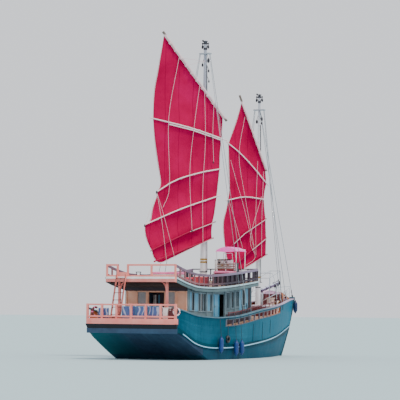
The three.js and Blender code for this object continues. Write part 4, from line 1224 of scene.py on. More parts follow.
def door(node, axis_a, axis_y, reach, away, foot, top):
    """A panelled leaf: the solid with eased edges, mouldings that frame three sunk panels, and a handle."""
    body = BODY_OF[node]
    # The aft doors take blue darkened by painted shade of the doorway under the overhang.
    paint = AFT_DOOR_SHADE_BLUE if node.startswith("aft") else BLUE_PAINT
    eased(node, paint, 0.004)
    trim = bmesh.new()
    step = 1 if reach > 0 else -1
    middle_y = axis_y + away * LEAF / 2
    for offset in (-1, 1):
        y = middle_y + offset * (LEAF / 2 + 0.004)
        for z in (foot + 0.06, foot + 0.5, foot + 1.05, top - 0.06):
            ends = [spot(x, y, z) for x in (axis_a + step * 0.03, axis_a + reach - step * 0.03)]
            beam(trim, *ends, 0.012, 0.06, 0.003)
        for x in (axis_a + step * 0.06, axis_a + reach - step * 0.06):
            beam(trim, spot(x, y, foot + 0.04), spot(x, y, top - 0.04), 0.06, 0.012, 0.003)
    keep(trim, node + "_mouldings", paint, body)
    handle = bmesh.new()
    grip_a = axis_a + reach - step * 0.06
    for offset in (-1, 1):
        y = middle_y + offset * (LEAF / 2 + 0.01)
        tube(handle, [spot(grip_a, y, foot + 0.95), spot(grip_a, y + offset * 0.035, foot + 0.97),
                      spot(grip_a, y + offset * 0.035, foot + 1.07), spot(grip_a, y, foot + 1.09)], 0.009, 8)
    keep(handle, node + "_handle", BRASS, body)


DOOR_HEAD = 3.62
AFT_FOOT, AFT_TOP = deck_z(CABIN_AFT) + 0.075, DOOR_HEAD + 0.05
SIDE_DOOR = 6.85
SIDE_FOOT, SIDE_TOP = deck_z(SIDE_DOOR) + 0.09, DOOR_HEAD - 0.012
for side, name in ((1, "port"), (-1, "starboard")):
    door(f"aft_door_{name}", CABIN_AFT + WALL + 0.008, side * 0.479, 0.47, side, AFT_FOOT, AFT_TOP)
    door(f"side_door_{name}", SIDE_DOOR + 0.008, side * 1.908, -0.7, side, SIDE_FOOT, SIDE_TOP)

# %% [markdown]
# ## Upper deck
#
# The upper deck is a laid roof with a pale edge. Its underside is dark varnish, darkened further as painted
# shade, with beams across, which show under the overhang at the stern. The rail round it is salmon at the
# stern and bare weathered wood along the sides, where short posts stand every 0.57 m between two rails that
# follow the curve of the deck.

# %% Roof, its edge and its beams
ROOF_AFT, ROOF_FRONT, ROOF_HALF = 1.1, 11.5, 2.2
FASCIA_PAINT = house_paint("grey_oil_paint_on_fascia", ["#52686e", "#647c80"], "#404c4e", 0.55)
FACING = 0.8  # how level a face is that counts as top or underside
roof_piece = eased("upper_deck", CREAM_PAINT, 0.01)
for finish in (DECK, DECKHEAD_VARNISH_AND_SHADE, FASCIA_PAINT, SALMON):
    roof_piece.data.materials.append(finish)
for face in roof_piece.data.polygons:
    from_aft = face.center.x + MIDSHIPS - ROOF_AFT
    if face.normal.z > FACING:
        face.material_index = 1
    elif face.normal.z < -FACING:
        face.material_index = 2
    elif from_aft < 0.06:
        face.material_index = 4
    else:
        face.material_index = 3

EDGE_SECTION = [(-0.004, -0.085), (0.02, -0.085), (0.03, -0.075), (0.03, -0.008), (0.022, 0.0), (-0.004, 0.0)]
edge = bmesh.new()
side_moulding(
    edge, stations(ROOF_AFT + 0.1, ROOF_FRONT - 0.1, 0.3), lambda a: (ROOF_HALF, roof_z(a) - 0.01),
    EDGE_SECTION,
)
keep(edge, "roof_edge_stripe", PALE_PAINT)
# A dark line under the pale roof edge: painted shadow of the edge.
shadow_line = bmesh.new()
side_moulding(
    shadow_line, stations(ROOF_AFT + 0.15, ROOF_FRONT - 0.15, 0.3), lambda a: (ROOF_HALF, roof_z(a) - 0.125),
    [(-0.004, -0.012), (0.012, -0.012), (0.012, 0.012), (-0.004, 0.012)],
)
keep(shadow_line, "roof_edge_painted_shadow_line", DECKHEAD_VARNISH_AND_SHADE)
aft_edge = bmesh.new()
aft_z = roof_z(ROOF_AFT)
AFT_STRIPE, BEAM_HALF = 0.12, 2.12
crossbeam(aft_edge, ROOF_AFT - 0.01, BEAM_HALF, aft_z - AFT_STRIPE / 2, 0.03, AFT_STRIPE)
keep(aft_edge, "roof_aft_stripe", CREAM_PAINT)

beams = bmesh.new()
for a in (1.25, 1.75, 2.3, 2.8):
    crossbeam(beams, a, BEAM_HALF, soffit_z(a) - 0.05, 0.06, 0.1)
for side in (-1, 1):
    for a in stations(3.4, 10.9, 0.94):
        z = soffit_z(a)
        beam(beams, spot(a, side * 1.935, z - 0.12), spot(a, side * 2.16, z - 0.03), 0.05, 0.07)
keep(beams, "roof_beams", DECKHEAD_VARNISH_AND_SHADE)
knees = bmesh.new()
knee_top = soffit_z(1.5) - 0.02
for side in (-1, 1):
    arc = [
        spot(1.465, side * (1.4 - 0.45 * (1 - math.sin(t))), knee_top - 0.4 * (1 - math.cos(t)))
        for t in stations(0.05, math.pi / 2, 0.3)
    ]
    tube(knees, arc, 0.04, 6)
keep(knees, "pillar_knees", SALMON)

# %% Rail round the upper deck
RAIL_HEIGHT, RAIL_INSET = 0.7, 0.09
RAIL_B = ROOF_HALF - RAIL_INSET
RAIL_ENDS = (ROOF_AFT + RAIL_INSET, ROOF_FRONT - RAIL_INSET)
LADDER_GAP = (0.81, 1.44)
SIDE_BAYS = 18
RAIL_POST = house_paint("stained_rail_posts", ["#8c5860", "#a06a70"], "#6c444c", 0.6)
tint_along(RAIL_POST, "X", "#382c3c", -7.5, -3.0)
RAIL_TOP = house_paint(
    "mauve_grey_weathered_rail", ["#6c5468", "#80687c"], "#94848c", 0.7, 0.4
)
tint_along(RAIL_TOP, "X", "#8c7e98", -6.0, -2.0)
side_rail = bmesh.new()
rail_rows = stations(RAIL_ENDS[0] - 0.045, RAIL_ENDS[1] + 0.045, 0.3)
for height, thick, finish in ((RAIL_HEIGHT, 0.13, 1), (0.19, 0.1, 0)):
    side_moulding(
        side_rail, rail_rows, lambda a: (RAIL_B, roof_z(a) + height),
        [(-0.04, -thick), (0.04, -thick), (0.045, -0.012), (0.033, 0), (-0.033, 0), (-0.045, -0.012)], finish,
    )
for side in (-1, 1):
    for a in stations(*RAIL_ENDS, (RAIL_ENDS[1] - RAIL_ENDS[0]) / SIDE_BAYS)[1:]:
        foot = spot(a, side * RAIL_B, roof_z(a))
        beam(side_rail, foot, foot + UP * (RAIL_HEIGHT - 0.05), 0.08, 0.08, 0.006)
front = RAIL_ENDS[1]
for height in (RAIL_HEIGHT - 0.03, 0.15):
    crossbeam(side_rail, front, RAIL_B, roof_z(front) + height, 0.07, 0.06)
for y in stations(-RAIL_B, RAIL_B, 0.6)[1:-1]:
    foot = spot(front, y, roof_z(front))
    beam(side_rail, foot, foot + UP * (RAIL_HEIGHT - 0.05), 0.058, 0.058, 0.006)
keep(side_rail, "upper_rail_sides", [RAIL_POST, RAIL_TOP], replaces=["upper_rail"])
screens = bmesh.new()
SCREEN_SECTION = [(-0.07, 0.02), (-0.05, 0.02), (-0.05, RAIL_HEIGHT - 0.12), (-0.07, RAIL_HEIGHT - 0.12)]
for start, end in ((6.0, 6.5), (7.35, 9.95), (10.24, 10.62), (10.98, 11.38)):
    side_moulding(screens, stations(start, end, 0.25), lambda a: (RAIL_B, roof_z(a)), SCREEN_SECTION)
keep(screens, "rail_screens", DARK_STAIN_AND_SHADE)

aft_rail = bmesh.new()
aft = RAIL_ENDS[0]
for y0, y1, bays in ((-RAIL_B, LADDER_GAP[0], 2), (LADDER_GAP[1], RAIL_B, 1)):
    for height, thick in ((RAIL_HEIGHT - 0.045, 0.1), (0.05, 0.1)):
        z = roof_z(aft) + height
        beam(aft_rail, spot(aft, y0 - 0.05, z), spot(aft, y1 + 0.05, z), 0.08, thick, 0.01)
    for y in stations(y0, y1, (y1 - y0) / bays):
        foot = spot(aft, y, roof_z(aft))
        beam(aft_rail, foot, foot + UP * RAIL_HEIGHT, 0.1, 0.1, 0.01)
block(aft_rail, spot(ROOF_AFT + 0.01, LADDER_GAP[0] - 0.02, aft_z - 0.06),
      spot(ROOF_AFT + 0.05, LADDER_GAP[1] + 0.02, aft_z + 0.24), 0.006)
keep(aft_rail, "upper_rail_aft", SALMON)
ladder_piece = eased("ladder", [SALMON, LADDER_SHADE_PAINT], 0.008)
# The treads and the aft faces of the ladder are red-brown: painted shade.
for face in ladder_piece.data.polygons:
    tread = LADDER_GAP[0] + 0.1 < face.center.y < LADDER_GAP[1] - 0.1
    if tread or face.normal.x < -0.5:
        face.material_index = 1

# %% [markdown]
# ## Sails
#
# A junk sail is a fan of panels between a yard, battens and a boom. The battens stay nearly straight while
# each panel bellies to leeward, which is what gives the sail its ribs. Each panel is a grid stretched
# between its four edges, pushed out most in its middle, and the panels are welded along the battens.

# %% Sail plans: points are distance ahead of the mast along the sail, and height
SAIL_TURN = math.radians(-35)
CLOTH_Y = -0.35
MAIN_AT, FORE_AT = 8.7, 15.9
SAILS = {
    "main": {
        "at": MAIN_AT,
        "lines": [
            [(-2.84, 5.4), (0.33, 6.82)],
            [(-3.5, 6.08), (-1.12, 7.16), (0.36, 7.7)],
            [(-3.93, 7.5), (-1.75, 8.42), (0.62, 9.2)],
            [(-3.2, 9.38), (-2.06, 10.05), (-0.4, 10.56), (0.8, 10.79)],
            [(-3.5, 13.5), (-1.01, 13.05), (0.9, 12.54)],
            [(-2.86, 18.24), (0.97, 13.73)],
        ],
        "leech": [
            [(-3.12, 5.42), (-3.39, 5.72)],
            [(-3.66, 6.3), (-3.88, 6.85), (-3.95, 7.25)],
            [(-3.59, 7.75), (-3.47, 8.42), (-3.22, 9.1)],
            [(-2.97, 9.85), (-3.16, 11.02), (-3.4, 12.45)],
            [(-3.48, 14.36), (-3.4, 15.25), (-3.22, 16.16), (-3.04, 17.2)],
        ],
        "luff": [
            [(0.31, 7.2)], [(0.5, 8.3)], [(0.72, 10.0)], [(0.82, 11.5)], [(0.96, 13.1)],
        ],
        "flat": (4.9, 12.9), "yard_r": 0.075,
    },
    "fore": {
        "at": FORE_AT,
        "lines": [
            [(-1.4, 5.09), (0.31, 6.03)],
            [(-2.0, 5.22), (-0.67, 6.3), (0.33, 7.04)],
            [(-2.42, 6.2), (-1.19, 7.26), (0.28, 8.17)],
            [(-2.27, 9.23), (-1.19, 9.45), (0.15, 9.35)],
            [(-2.29, 12.55), (-1.58, 12.1), (-0.68, 11.31), (0.32, 10.29)],
            [(-1.42, 15.05), (0.23, 11.15)],
        ],
        "leech": [
            [(-1.72, 5.12)],
            [(-2.27, 5.7)],
            [(-2.54, 7.16), (-2.56, 7.94), (-2.38, 8.68)],
            [(-2.18, 10.04), (-2.23, 11.29), (-2.27, 12.1)],
            [(-2.2, 12.8), (-1.74, 13.95)],
        ],
        "luff": [[(0.32, 6.5)], [(0.3, 7.6)], [(0.2, 8.8)], [(0.2, 9.8)], [(0.28, 10.7)]],
        "flat": (2.9, 10.0), "yard_r": 0.065,
    },
}


# %% Points of a sail
def sail_spot(at, u, y, z):
    """A point of a sail's own frame: along it, out from it and up, at the mast."""
    return spot(at + u * math.cos(SAIL_TURN) - y * math.sin(SAIL_TURN),
                u * math.sin(SAIL_TURN) + y * math.cos(SAIL_TURN), z)


def at_share(points, share):
    """The point at a share of a line's length."""
    lengths = [math.dist(p, q) for p, q in zip(points, points[1:])]
    left = share * sum(lengths)
    for (p, q), length in zip(zip(points, points[1:]), lengths):
        if left <= length or (p, q) == (points[-2], points[-1]):
            t = min(left / length, 1)
            return p[0] + (q[0] - p[0]) * t, p[1] + (q[1] - p[1]) * t
        left -= length


def finer(points):
    """The same line with a smooth curve between its points."""
    if len(points) < 3:
        return points
    return [(p.x, p.z) for p in smooth_path([Vector((u, 0, z)) for u, z in points], 5)]


def panel_point(bottom, top, left, right, s, t):
    """A point of the patch between four edges."""
    (b, c), (l, r) = (at_share(bottom, s), at_share(top, s)), (at_share(left, t), at_share(right, t))
    corners = bottom[0], bottom[-1], top[0], top[-1]
    return [
        (1 - t) * b[k] + t * c[k] + (1 - s) * l[k] + s * r[k]
        - (1 - s) * (1 - t) * corners[0][k] - s * (1 - t) * corners[1][k]
        - (1 - s) * t * corners[2][k] - s * t * corners[3][k]
        for k in (0, 1)
    ]


# %% Cloth
BELLY = 0.17
CLOTH_COLUMNS, CLOTH_ROW = 26, 0.28  # cells along a panel, and the height of one
for name, sail in SAILS.items():
    cloth = bmesh.new()
    lines = [finer(line) for line in sail["lines"]]
    for i, (bottom, top) in enumerate(zip(lines, lines[1:])):
        left = finer([bottom[0]] + sail["leech"][i] + [top[0]])
        right = finer([bottom[-1]] + sail["luff"][i] + [top[-1]])
        rows = max(5, round((top[0][1] - bottom[0][1]) / CLOTH_ROW))

        def placed(s, t):
            u, z = panel_point(bottom, top, left, right, s, t)
            near_mast = 1 - 0.7 * math.exp(-((u / 0.7) ** 2))
            belly = BELLY * math.sin(math.pi * t) * (0.35 + 0.65 * math.sin(math.pi * s)) * near_mast
            return sail_spot(sail["at"], u, CLOTH_Y + belly, z)

        surface(
            cloth, (CLOTH_COLUMNS, rows), placed,
            lambda s, t: panel_point(bottom, top, left, right, s, t),
        )
    bmesh.ops.remove_doubles(cloth, verts=cloth.verts, dist=2e-3)
    area = sum(face.calc_area() for face in cloth.faces)
    piece = keep(cloth, f"{name}_sail_cloth", SAILCLOTH, f"{name}_sail_rig", [f"{name}_sail"], 60)
    thicken(piece, 0.01)
    sail["piece"], sail["area"] = piece, area
    print(name, "sail", round(area, 1), "m2")

# %% Spars: the lower battens and the boom are sewn into sleeves of sailcloth
SLEEVED = {"main": (0, 1), "fore": (0, 1, 2)}  # which of the sail's lines, from its foot
SPAR_END = "#a8a0a4"
for name, sail in SAILS.items():
    head = sail["lines"][-1]
    yard_paint = house_paint(
        f"pale_paint_on_{name}_yard", ["#e4c4c8", "#f4dcde"], "#b8989c", 0.6, 0.3
    )
    for bound, step in ((head[0][1], 0.1), (head[1][1], -0.1)):
        tint_along(yard_paint, "Z", "#746860", bound, bound + step)
    eased(f"{name}_yard", yard_paint, 0.01)
    for k, line in enumerate(sail["lines"][:-1]):
        finish = BATTEN_PAINT
        if k in SLEEVED[name]:
            finish = plain_finish(
                f"dyed_cotton_sleeve_{name}_{k}", ["#a40040", "#b8004a"], 0.85, scale=3
            )
            tint_along(finish, "Z", SPAR_END, line[0][1] - 0.01, line[0][1] - 0.03)
            tint_along(finish, "Z", SPAR_END, line[-1][1] + 0.01, line[-1][1] + 0.03)
        eased(f"{name}_batten_{5 - k}" if k else f"{name}_boom", finish, 0, 50)
    eased(f"{name}_mast", MAST_PAINT, 0.01)
    eased(f"{name}_rigging", WIRE, 0, 50)

# %% Boltropes, and what is lashed to the spars
ROPE_Y = -0.47  # clear of the battens, on the near face of the sail
BATTEN_Y = -0.4


def sail_rope(mesh, sail, points, radius, y=ROPE_Y, sides=6):
    """A rope along (u, z) points of a sail, a hand's breadth off its face."""
    tube(mesh, [sail_spot(sail["at"], u, y, z) for u, z in points], radius, sides)


def lashings(mesh, sail, line, pitch, radius, y):
    """Turns of small rope round a spar, every pitch along it."""
    length = sum(math.dist(p, q) for p, q in zip(line, line[1:]))
    count = max(2, round(length / pitch))
    for k in range(1, count):
        here, there = at_share(line, k / count - 0.004), at_share(line, k / count + 0.004)
        start, end = sail_spot(sail["at"], here[0], y, here[1]), sail_spot(sail["at"], there[0], y, there[1])
        grown = (end - start).normalized() * 0.035
        tube(mesh, [start - grown, start, end, end + grown], [radius * 0.9, radius, radius, radius * 0.9], 10)


SLEEVE_LACINGS = {
    "main": [[(-1.12, 7.16), (0.36, 7.7)]],
    "fore": [[(-0.67, 6.3), (0.33, 7.04)], [(-1.9, 6.65), (-1.19, 7.26), (0.28, 8.17)]],
}
for name, sail in SAILS.items():
    ropes, ties = bmesh.new(), bmesh.new()
    lines = [finer(line) for line in sail["lines"]]
    for side, end in (("leech", 0), ("luff", -1)):
        run = [lines[0][end]]
        for i, upper in enumerate(lines[1:]):
            run += finer([run[-1]] + sail[side][i] + [upper[end]])[1:]
        sail_rope(ropes, sail, run, 0.014, CLOTH_Y)
    sail_rope(ropes, sail, lines[0], 0.014, ROPE_Y + 0.004)
    for line in SLEEVE_LACINGS[name]:
        sail_rope(ropes, sail, line, 0.02, ROPE_Y + 0.008)
    keep(ropes, f"{name}_boltrope", PALE_ROPE, f"{name}_sail_rig")
    spar_r = sail["yard_r"]
    lashings(ties, sail, sail["lines"][-1], 0.55, spar_r + 0.006, -0.36 - spar_r)
    for k, line in enumerate(lines[:-1]):
        if k not in SLEEVED[name]:
            lashings(ties, sail, line, 0.8, 0.052, BATTEN_Y - 0.002)
    keep(ties, f"{name}_spar_lashings", PALE_ROPE, f"{name}_sail_rig")

# %% Sheetlets, downhauls and lifts on the sails
MAIN_ROPES = [
    [(-1.9, 17.2), (-2.565, 13.54), (-2.47, 9.75), (-2.88, 8.48)],
    [(-0.59, 15.65), (-0.94, 13.19), (-1.2, 10.49), (-1.02, 7.22)],
    [(0.3, 14.5), (0.25, 12.8), (0.32, 11.2)],
    [(0.55, 14.2), (0.78, 12.7)],
    [(-3.28, 9.29), (-2.85, 8.08), (-2.13, 5.72)],
    [(-3.3, 9.3), (-2.95, 7.6), (-2.65, 5.5)],
    [(-0.28, 15.2), (-0.2, 12.4), (-0.34, 9.6), (-0.3, 6.55)],
    [(-3.4, 9.2), (-3.85, 7.9), (-4.0, 7.45)],
    [(-1.75, 17.0), (-0.9, 16.95), (-0.24, 16.85)],
    [(-1.45, 16.6), (-0.24, 16.95)],
]
FORE_ROPES = [
    [(-1.25, 14.2), (-1.62, 11.9), (-1.2, 9.5), (-0.55, 6.5)],
    [(-2.2, 11.6), (-1.75, 10.2), (-1.3, 8.9), (-0.5, 6.1)],
    [(-2.3, 9.2), (-1.75, 7.6), (-1.35, 6.4)],
    [(-0.35, 11.6), (-0.45, 8.4), (-0.42, 5.9)],
    [(0.05, 11.0), (-0.05, 8.4), (-0.05, 5.95)],
    [(-0.1, 9.5), (-0.85, 7.0), (-0.5, 5.9), (-1.1, 5.4)],
]
BATTEN_CLEAR = 0.028
second_batten = bmesh.new()
sail_rope(second_batten, SAILS["main"], [(-2.5, 13.22), (-1.01, 12.95), (0.88, 12.44)], 0.034, BATTEN_Y, 10)
keep(second_batten, "main_top_batten_second_bamboo", BATTEN_PAINT, "main_sail_rig")
for name, group, radius in (("main", MAIN_ROPES, 0.011), ("fore", FORE_ROPES, 0.01)):
    running = bmesh.new()
    for k, points in enumerate(group):
        path = [(p.x, p.z) for p in smooth_path([Vector((u, 0, z)) for u, z in points], 5)]
        sail_rope(running, SAILS[name], path, radius, ROPE_Y - BATTEN_CLEAR * (k % 3))
    keep(running, f"{name}_running_ropes", PALE_ROPE, f"{name}_sail_rig")


BLOCK_SHELL = [(0.0, -1.0), (0.32, -0.9), (0.55, -0.3), (0.52, 0.35), (0.3, 0.9), (0.0, 1.0)]
BLOCK_SHEAVE = mirrored([(0.0, 0.34), (0.3, 0.3)])


def rope_block(mesh, middle, size):
    """A wooden block: an oval shell of two cheeks with the sheave between them."""
    for profile, axis in ((BLOCK_SHELL, UP), (BLOCK_SHEAVE, FORWARD)):
        lathe(mesh, [(size * radius, size * rise) for radius, rise in profile], middle, axis, 10)


# Each block's place along the sail, its height and its size
SAIL_BLOCKS = {
    "main": [
        (-3.28, 9.33, 0.1), (-1.02, 7.2, 0.08), (0.32, 11.15, 0.07), (0.2, 12.55, 0.07), (-4.02, 7.44, 0.08),
    ],
    "fore": [(-2.32, 9.15, 0.09), (-2.0, 5.25, 0.07), (-0.42, 5.95, 0.07)],
}
for name, places in SAIL_BLOCKS.items():
    blocks = bmesh.new()
    for u, z, size in places:
        rope_block(blocks, sail_spot(SAILS[name]["at"], u, ROPE_Y, z), size)
    keep(blocks, f"{name}_sail_blocks", DARK_ROPE, f"{name}_sail_rig")

# %% [markdown]
# ## Mastheads and standing rigging
#
# Each mast ends in a black iron band with a crane on either side, from which the halyard blocks hang. Lower
# down it has brass bands where the sail's parrels rub. At the rail each shroud ends in a turnbuckle on a
# chainplate. They are turned or bevelled one by one, because in silhouette against the sky they tell.


# %% Mastheads
def masthead(name, at, top, radius, blocks):
    """Iron bands, a crane, a truck, blocks on short strops and a thin aerial."""
    iron, wood = bmesh.new(), bmesh.new()
    for z, grow in ((top - 0.1, 0.02), (top - 0.42, 0.028)):
        lathe(iron, mirrored([(radius + 0.002, 0.06), (radius + grow, 0.05)]), spot(at, 0, z), UP, 24)
    lathe(iron, [(0.0, -0.02), (radius + 0.05, -0.02), (radius + 0.06, 0.02), (0.03, 0.05), (0.0, 0.05)],
          spot(at, 0, top), UP, 20)
    for side in (-1, 1):
        beam(iron, spot(at, 0, top - 0.16), spot(at, side * 0.22, top - 0.1), 0.05, 0.07)
        beam(iron, spot(at, side * 0.22, top - 0.1), spot(at, side * 0.06, top - 0.4), 0.03, 0.04)
        tube(iron, [spot(at, side * 0.19, top - 0.12), spot(at, side * 0.19, top - 0.22)], 0.012)
        rope_block(iron, spot(at, side * 0.19, top - 0.32), 0.1)
    tube(iron, [spot(at - 0.08, 0.12, top - 0.2), spot(at - 0.08, 0.12, top + 0.02)], 0.014)
    lathe(iron, mirrored([(0.0, 0.05), (0.05, 0.04)]), spot(at - 0.08, 0.12, top + 0.04), UP, 12)
    for y, z, size in blocks:
        start = spot(at, math.copysign(radius * 0.7, y), z + size + 0.34)
        tube(wood, [start, spot(at, y, z + size)], 0.012)
        rope_block(wood, spot(at, y, z), size)
    keep(iron, f"{name}_masthead_irons", DARK_ROPE)
    keep(wood, f"{name}_masthead_blocks", DARK_ROPE)


MAIN_TOP, FORE_TOP = 18.1, 15.6
masthead(
    "main", MAIN_AT, MAIN_TOP, 0.082,
    ((-0.2, 17.0, 0.14), (0.18, 16.75, 0.1), (-0.22, 16.4, 0.09), (-0.24, 15.8, 0.08)),
)
masthead("fore", FORE_AT, FORE_TOP, 0.067, ((-0.17, 14.15, 0.12), (0.16, 14.0, 0.12), (-0.16, 13.9, 0.09)))

# %% Mast bands, cleats and halyard falls
MAST_TAPER = {"main": (MAIN_AT, 0.225, 0.08, 1.95, MAIN_TOP), "fore": (FORE_AT, 0.17, 0.065, 2.53, FORE_TOP)}


def mast_radius(name, z):
    _, foot, head, low, high = MAST_TAPER[name]
    return foot + (head - foot) * (z - low) / (high - low)


for name, brass_at, dark_at, cleat_z, block_z in (
    ("main", (5.46, 5.62), (4.9, 9.4, 12.8), 4.95, 16.7),
    ("fore", (4.7,), (4.1, 8.9, 11.6), 4.4, 13.8),
):
    at = MAST_TAPER[name][0]
    brass, dark = bmesh.new(), bmesh.new()
    for mesh, heights, thick in ((brass, brass_at, 0.05), (dark, dark_at, 0.03)):
        for z in heights:
            r = mast_radius(name, z)
            lathe(mesh, mirrored([(r - 0.004, thick), (r + 0.016, thick - 0.01)]), spot(at, 0, z), UP, 28)
    out = mast_radius(name, cleat_z)
    for side in (-1, 1):
        y = side * (out + 0.035)
        tube(dark, [spot(at + 0.14, y, cleat_z), spot(at - 0.14, y, cleat_z)], 0.018)
        tube(dark, [spot(at, side * (out - 0.01), cleat_z), spot(at, y, cleat_z)], 0.022)
    keep(brass, f"{name}_mast_brass_bands", BRASS)
    keep(dark, f"{name}_mast_iron_bands", DARK_ROPE)
    falls = bmesh.new()
    for angle in (-1.9, -0.8):
        run = []
        for z in stations(cleat_z, block_z, 1.2):
            r = mast_radius(name, z) + 0.022
            run.append(spot(at + r * math.cos(angle), r * math.sin(angle), z))
        tube(falls, run, 0.013, 6)
    keep(falls, f"{name}_halyard_falls", DARK_ROPE)

# %% Turnbuckles and chainplates
fixings = bmesh.new()
FEET = ((7.9, MAIN_AT, 17.4), (8.65, MAIN_AT, 17.4), (15.6, FORE_AT, 14.7), (16.3, FORE_AT, 14.7))
for a, mast_at, head_z in FEET:
    for side in (-1, 1):
        foot = on_cap(a, side, 0.04, -0.02)
        head = spot(mast_at + (a - mast_at) * 0.12, side * 0.3, head_z)
        way = (head - foot).normalized()
        for start, end, radius in ((0.05, 0.42, 0.026), (0.42, 0.6, 0.02)):
            tube(fixings, [foot + way * start, foot + way * end], radius, 8)
        lathe(fixings, mirrored([(0.0, 0.03), (0.04, 0.02)]), foot + way * 0.44, way, 10)
        plate_foot = spot(a, side * (side_b(a, cap_z(a) - 0.3) + 0.008), cap_z(a) - 0.42)
        beam(fixings, plate_foot, on_cap(a, side, -0.006, -0.06), 0.012, 0.06, 0.004)
for a, z in ((20.8, 3.56), (19.85, 3.45)):
    foot = spot(a, 0, z - 0.025)
    way = (spot(FORE_AT + 0.12, 0, 14.7) - foot).normalized()
    tube(fixings, [foot, foot + way * 0.5], 0.024, 8)
    lathe(fixings, mirrored([(0.0, 0.06), (0.05, 0.05)]), foot + way * 0.1, way, 10)
keep(fixings, "turnbuckles_and_chainplates", DARK_ROPE)

# %% [markdown]
# ## Cushions
#
# Everything soft that one sits on is a cover stuffed tight with foam. Each pad starts as a bevelled block
# slightly smaller than the finished one, is remeshed into even squares and is then blown up by Cloth with
# air pressure, as a real cover is by its filling. No point may move further than a cap, so that its sides
# stay straight. Buttons are dimples pressed in afterwards, and the piping is a thin cord on the seams.

# %% A pad, before it is stuffed
PAD_VOXEL = 0.028
PAD_SLACK = 0.014  # how much smaller than the finished pad the cover starts
PAD_CAP = 0.024
PAD_PRESSURE = 4.0
PAD_FRAMES = 20
PADS = []


def rounded_loop(low, high, z, inset, corner=0.07):
    """Points round a rectangle with rounded corners, at one height."""
    radius, steps = corner - inset, 4
    points = []
    for cx, cy, start in ((high.x - corner, high.y - corner, 0), (low.x + corner, high.y - corner, 1),
                          (low.x + corner, low.y + corner, 2), (high.x - corner, low.y + corner, 3)):
        for k in range(steps + 1):
            t = (start + k / steps) * math.pi / 2
            points.append(Vector((cx + radius * math.cos(t), cy + radius * math.sin(t), z)))
    return points + [points[0]]


def pad(name, low, high, cover, fill=0.8, replaces=(), dents=(), piping=None):
    """A stuffed cushion between two corners. dents are points where a button pulls the cover in."""
    mesh = bmesh.new()
    slack = Vector((PAD_SLACK, PAD_SLACK, PAD_SLACK))
    thin = min(high - low)
    block(mesh, low + slack, high - slack, 0)
    ease_edges(mesh, mesh.edges[:], 0.24 * thin, 3)
    piece = keep(mesh, name, cover, replaces=replaces, corner=80)
    PADS.append((piece, low, high, dents, fill))
    if piping:
        cord = bmesh.new()
        flat = (high - low).z <= min((high - low).x, (high - low).y)
        if flat:
            for z in (high.z - 0.22 * thin, low.z + 0.22 * thin):
                tube(cord, rounded_loop(low, high, z, -0.004), 0.007, 6)
        else:
            for x in (low.x + 0.22 * thin, high.x - 0.22 * thin):
                ring = rounded_loop(Vector((low.y, low.z, 0)), Vector((high.y, high.z, 0)), 0, -0.004, 0.06)
                tube(cord, [Vector((x, p.x, p.y)) for p in ring], 0.007, 6)
        keep(cord, name + "_piping", piping)


def buttons(low, high, along_x, along_y):
    """A grid of button places on the top of a pad."""
    return [
        Vector((
            low.x + (high.x - low.x) * (i + 0.5) / along_x,
            low.y + (high.y - low.y) * (k + 0.5) / along_y,
            high.z,
        ))
        for i in range(along_x) for k in range(along_y)
    ]


# %% Covers
NAVY_COVER = woven("navy_printed_cotton_cover", ["#22386e", "#3c5690", "#5872a8"], 0.012)
CRIMSON_COVER = woven("crimson_woven_cotton_cover", ["#8c0c24", "#a8142e", "#c02c44"], 0.012)
MAROON_COVER = woven("maroon_woven_cotton_cover", ["#4c1020", "#641a2a", "#7c2a3c"], 0.012)


def printed(material, pale, scale, share):
    """Prints pale scrolls over a cover: the thin ridges of a distorted wave."""
    shader = material.node_tree.nodes["Principled BSDF"]
    dye = shader.inputs["Base Color"].links[0].from_socket
    coords = add_node(material, "ShaderNodeTexCoord")
    scrolls = add_node(
        material, "ShaderNodeTexWave",
        {
            "Vector": coords.outputs["Object"], "Scale": scale, "Distortion": 9.0, "Detail": 1.0,
            "Detail Scale": 1.4,
        },
        bands_direction="Y",
    )
    line = add_node(
        material, "ShaderNodeMapRange",
        {"Value": scrolls.outputs["Fac"], "From Min": 0.82, "From Max": 0.94, "To Max": share},
    )
    print_over = add_node(
        material, "ShaderNodeMix", {0: line.outputs["Result"], 6: dye, 7: linear(pale)}, data_type="RGBA"
    )
    wire(material, print_over.outputs[2], shader, "Base Color")


printed(NAVY_COVER, "#c4cce4", 0.9, 0.8)
printed(CORAL_COVER, "#f4a8a0", 1.2, 0.5)

# %% [markdown]
# ## Seats at the stern
#
# A bench stands against the platform's rail, with seat pads in printed blue cotton piped in white and back
# pads that lean on a board. They are what shows between the salmon posts.

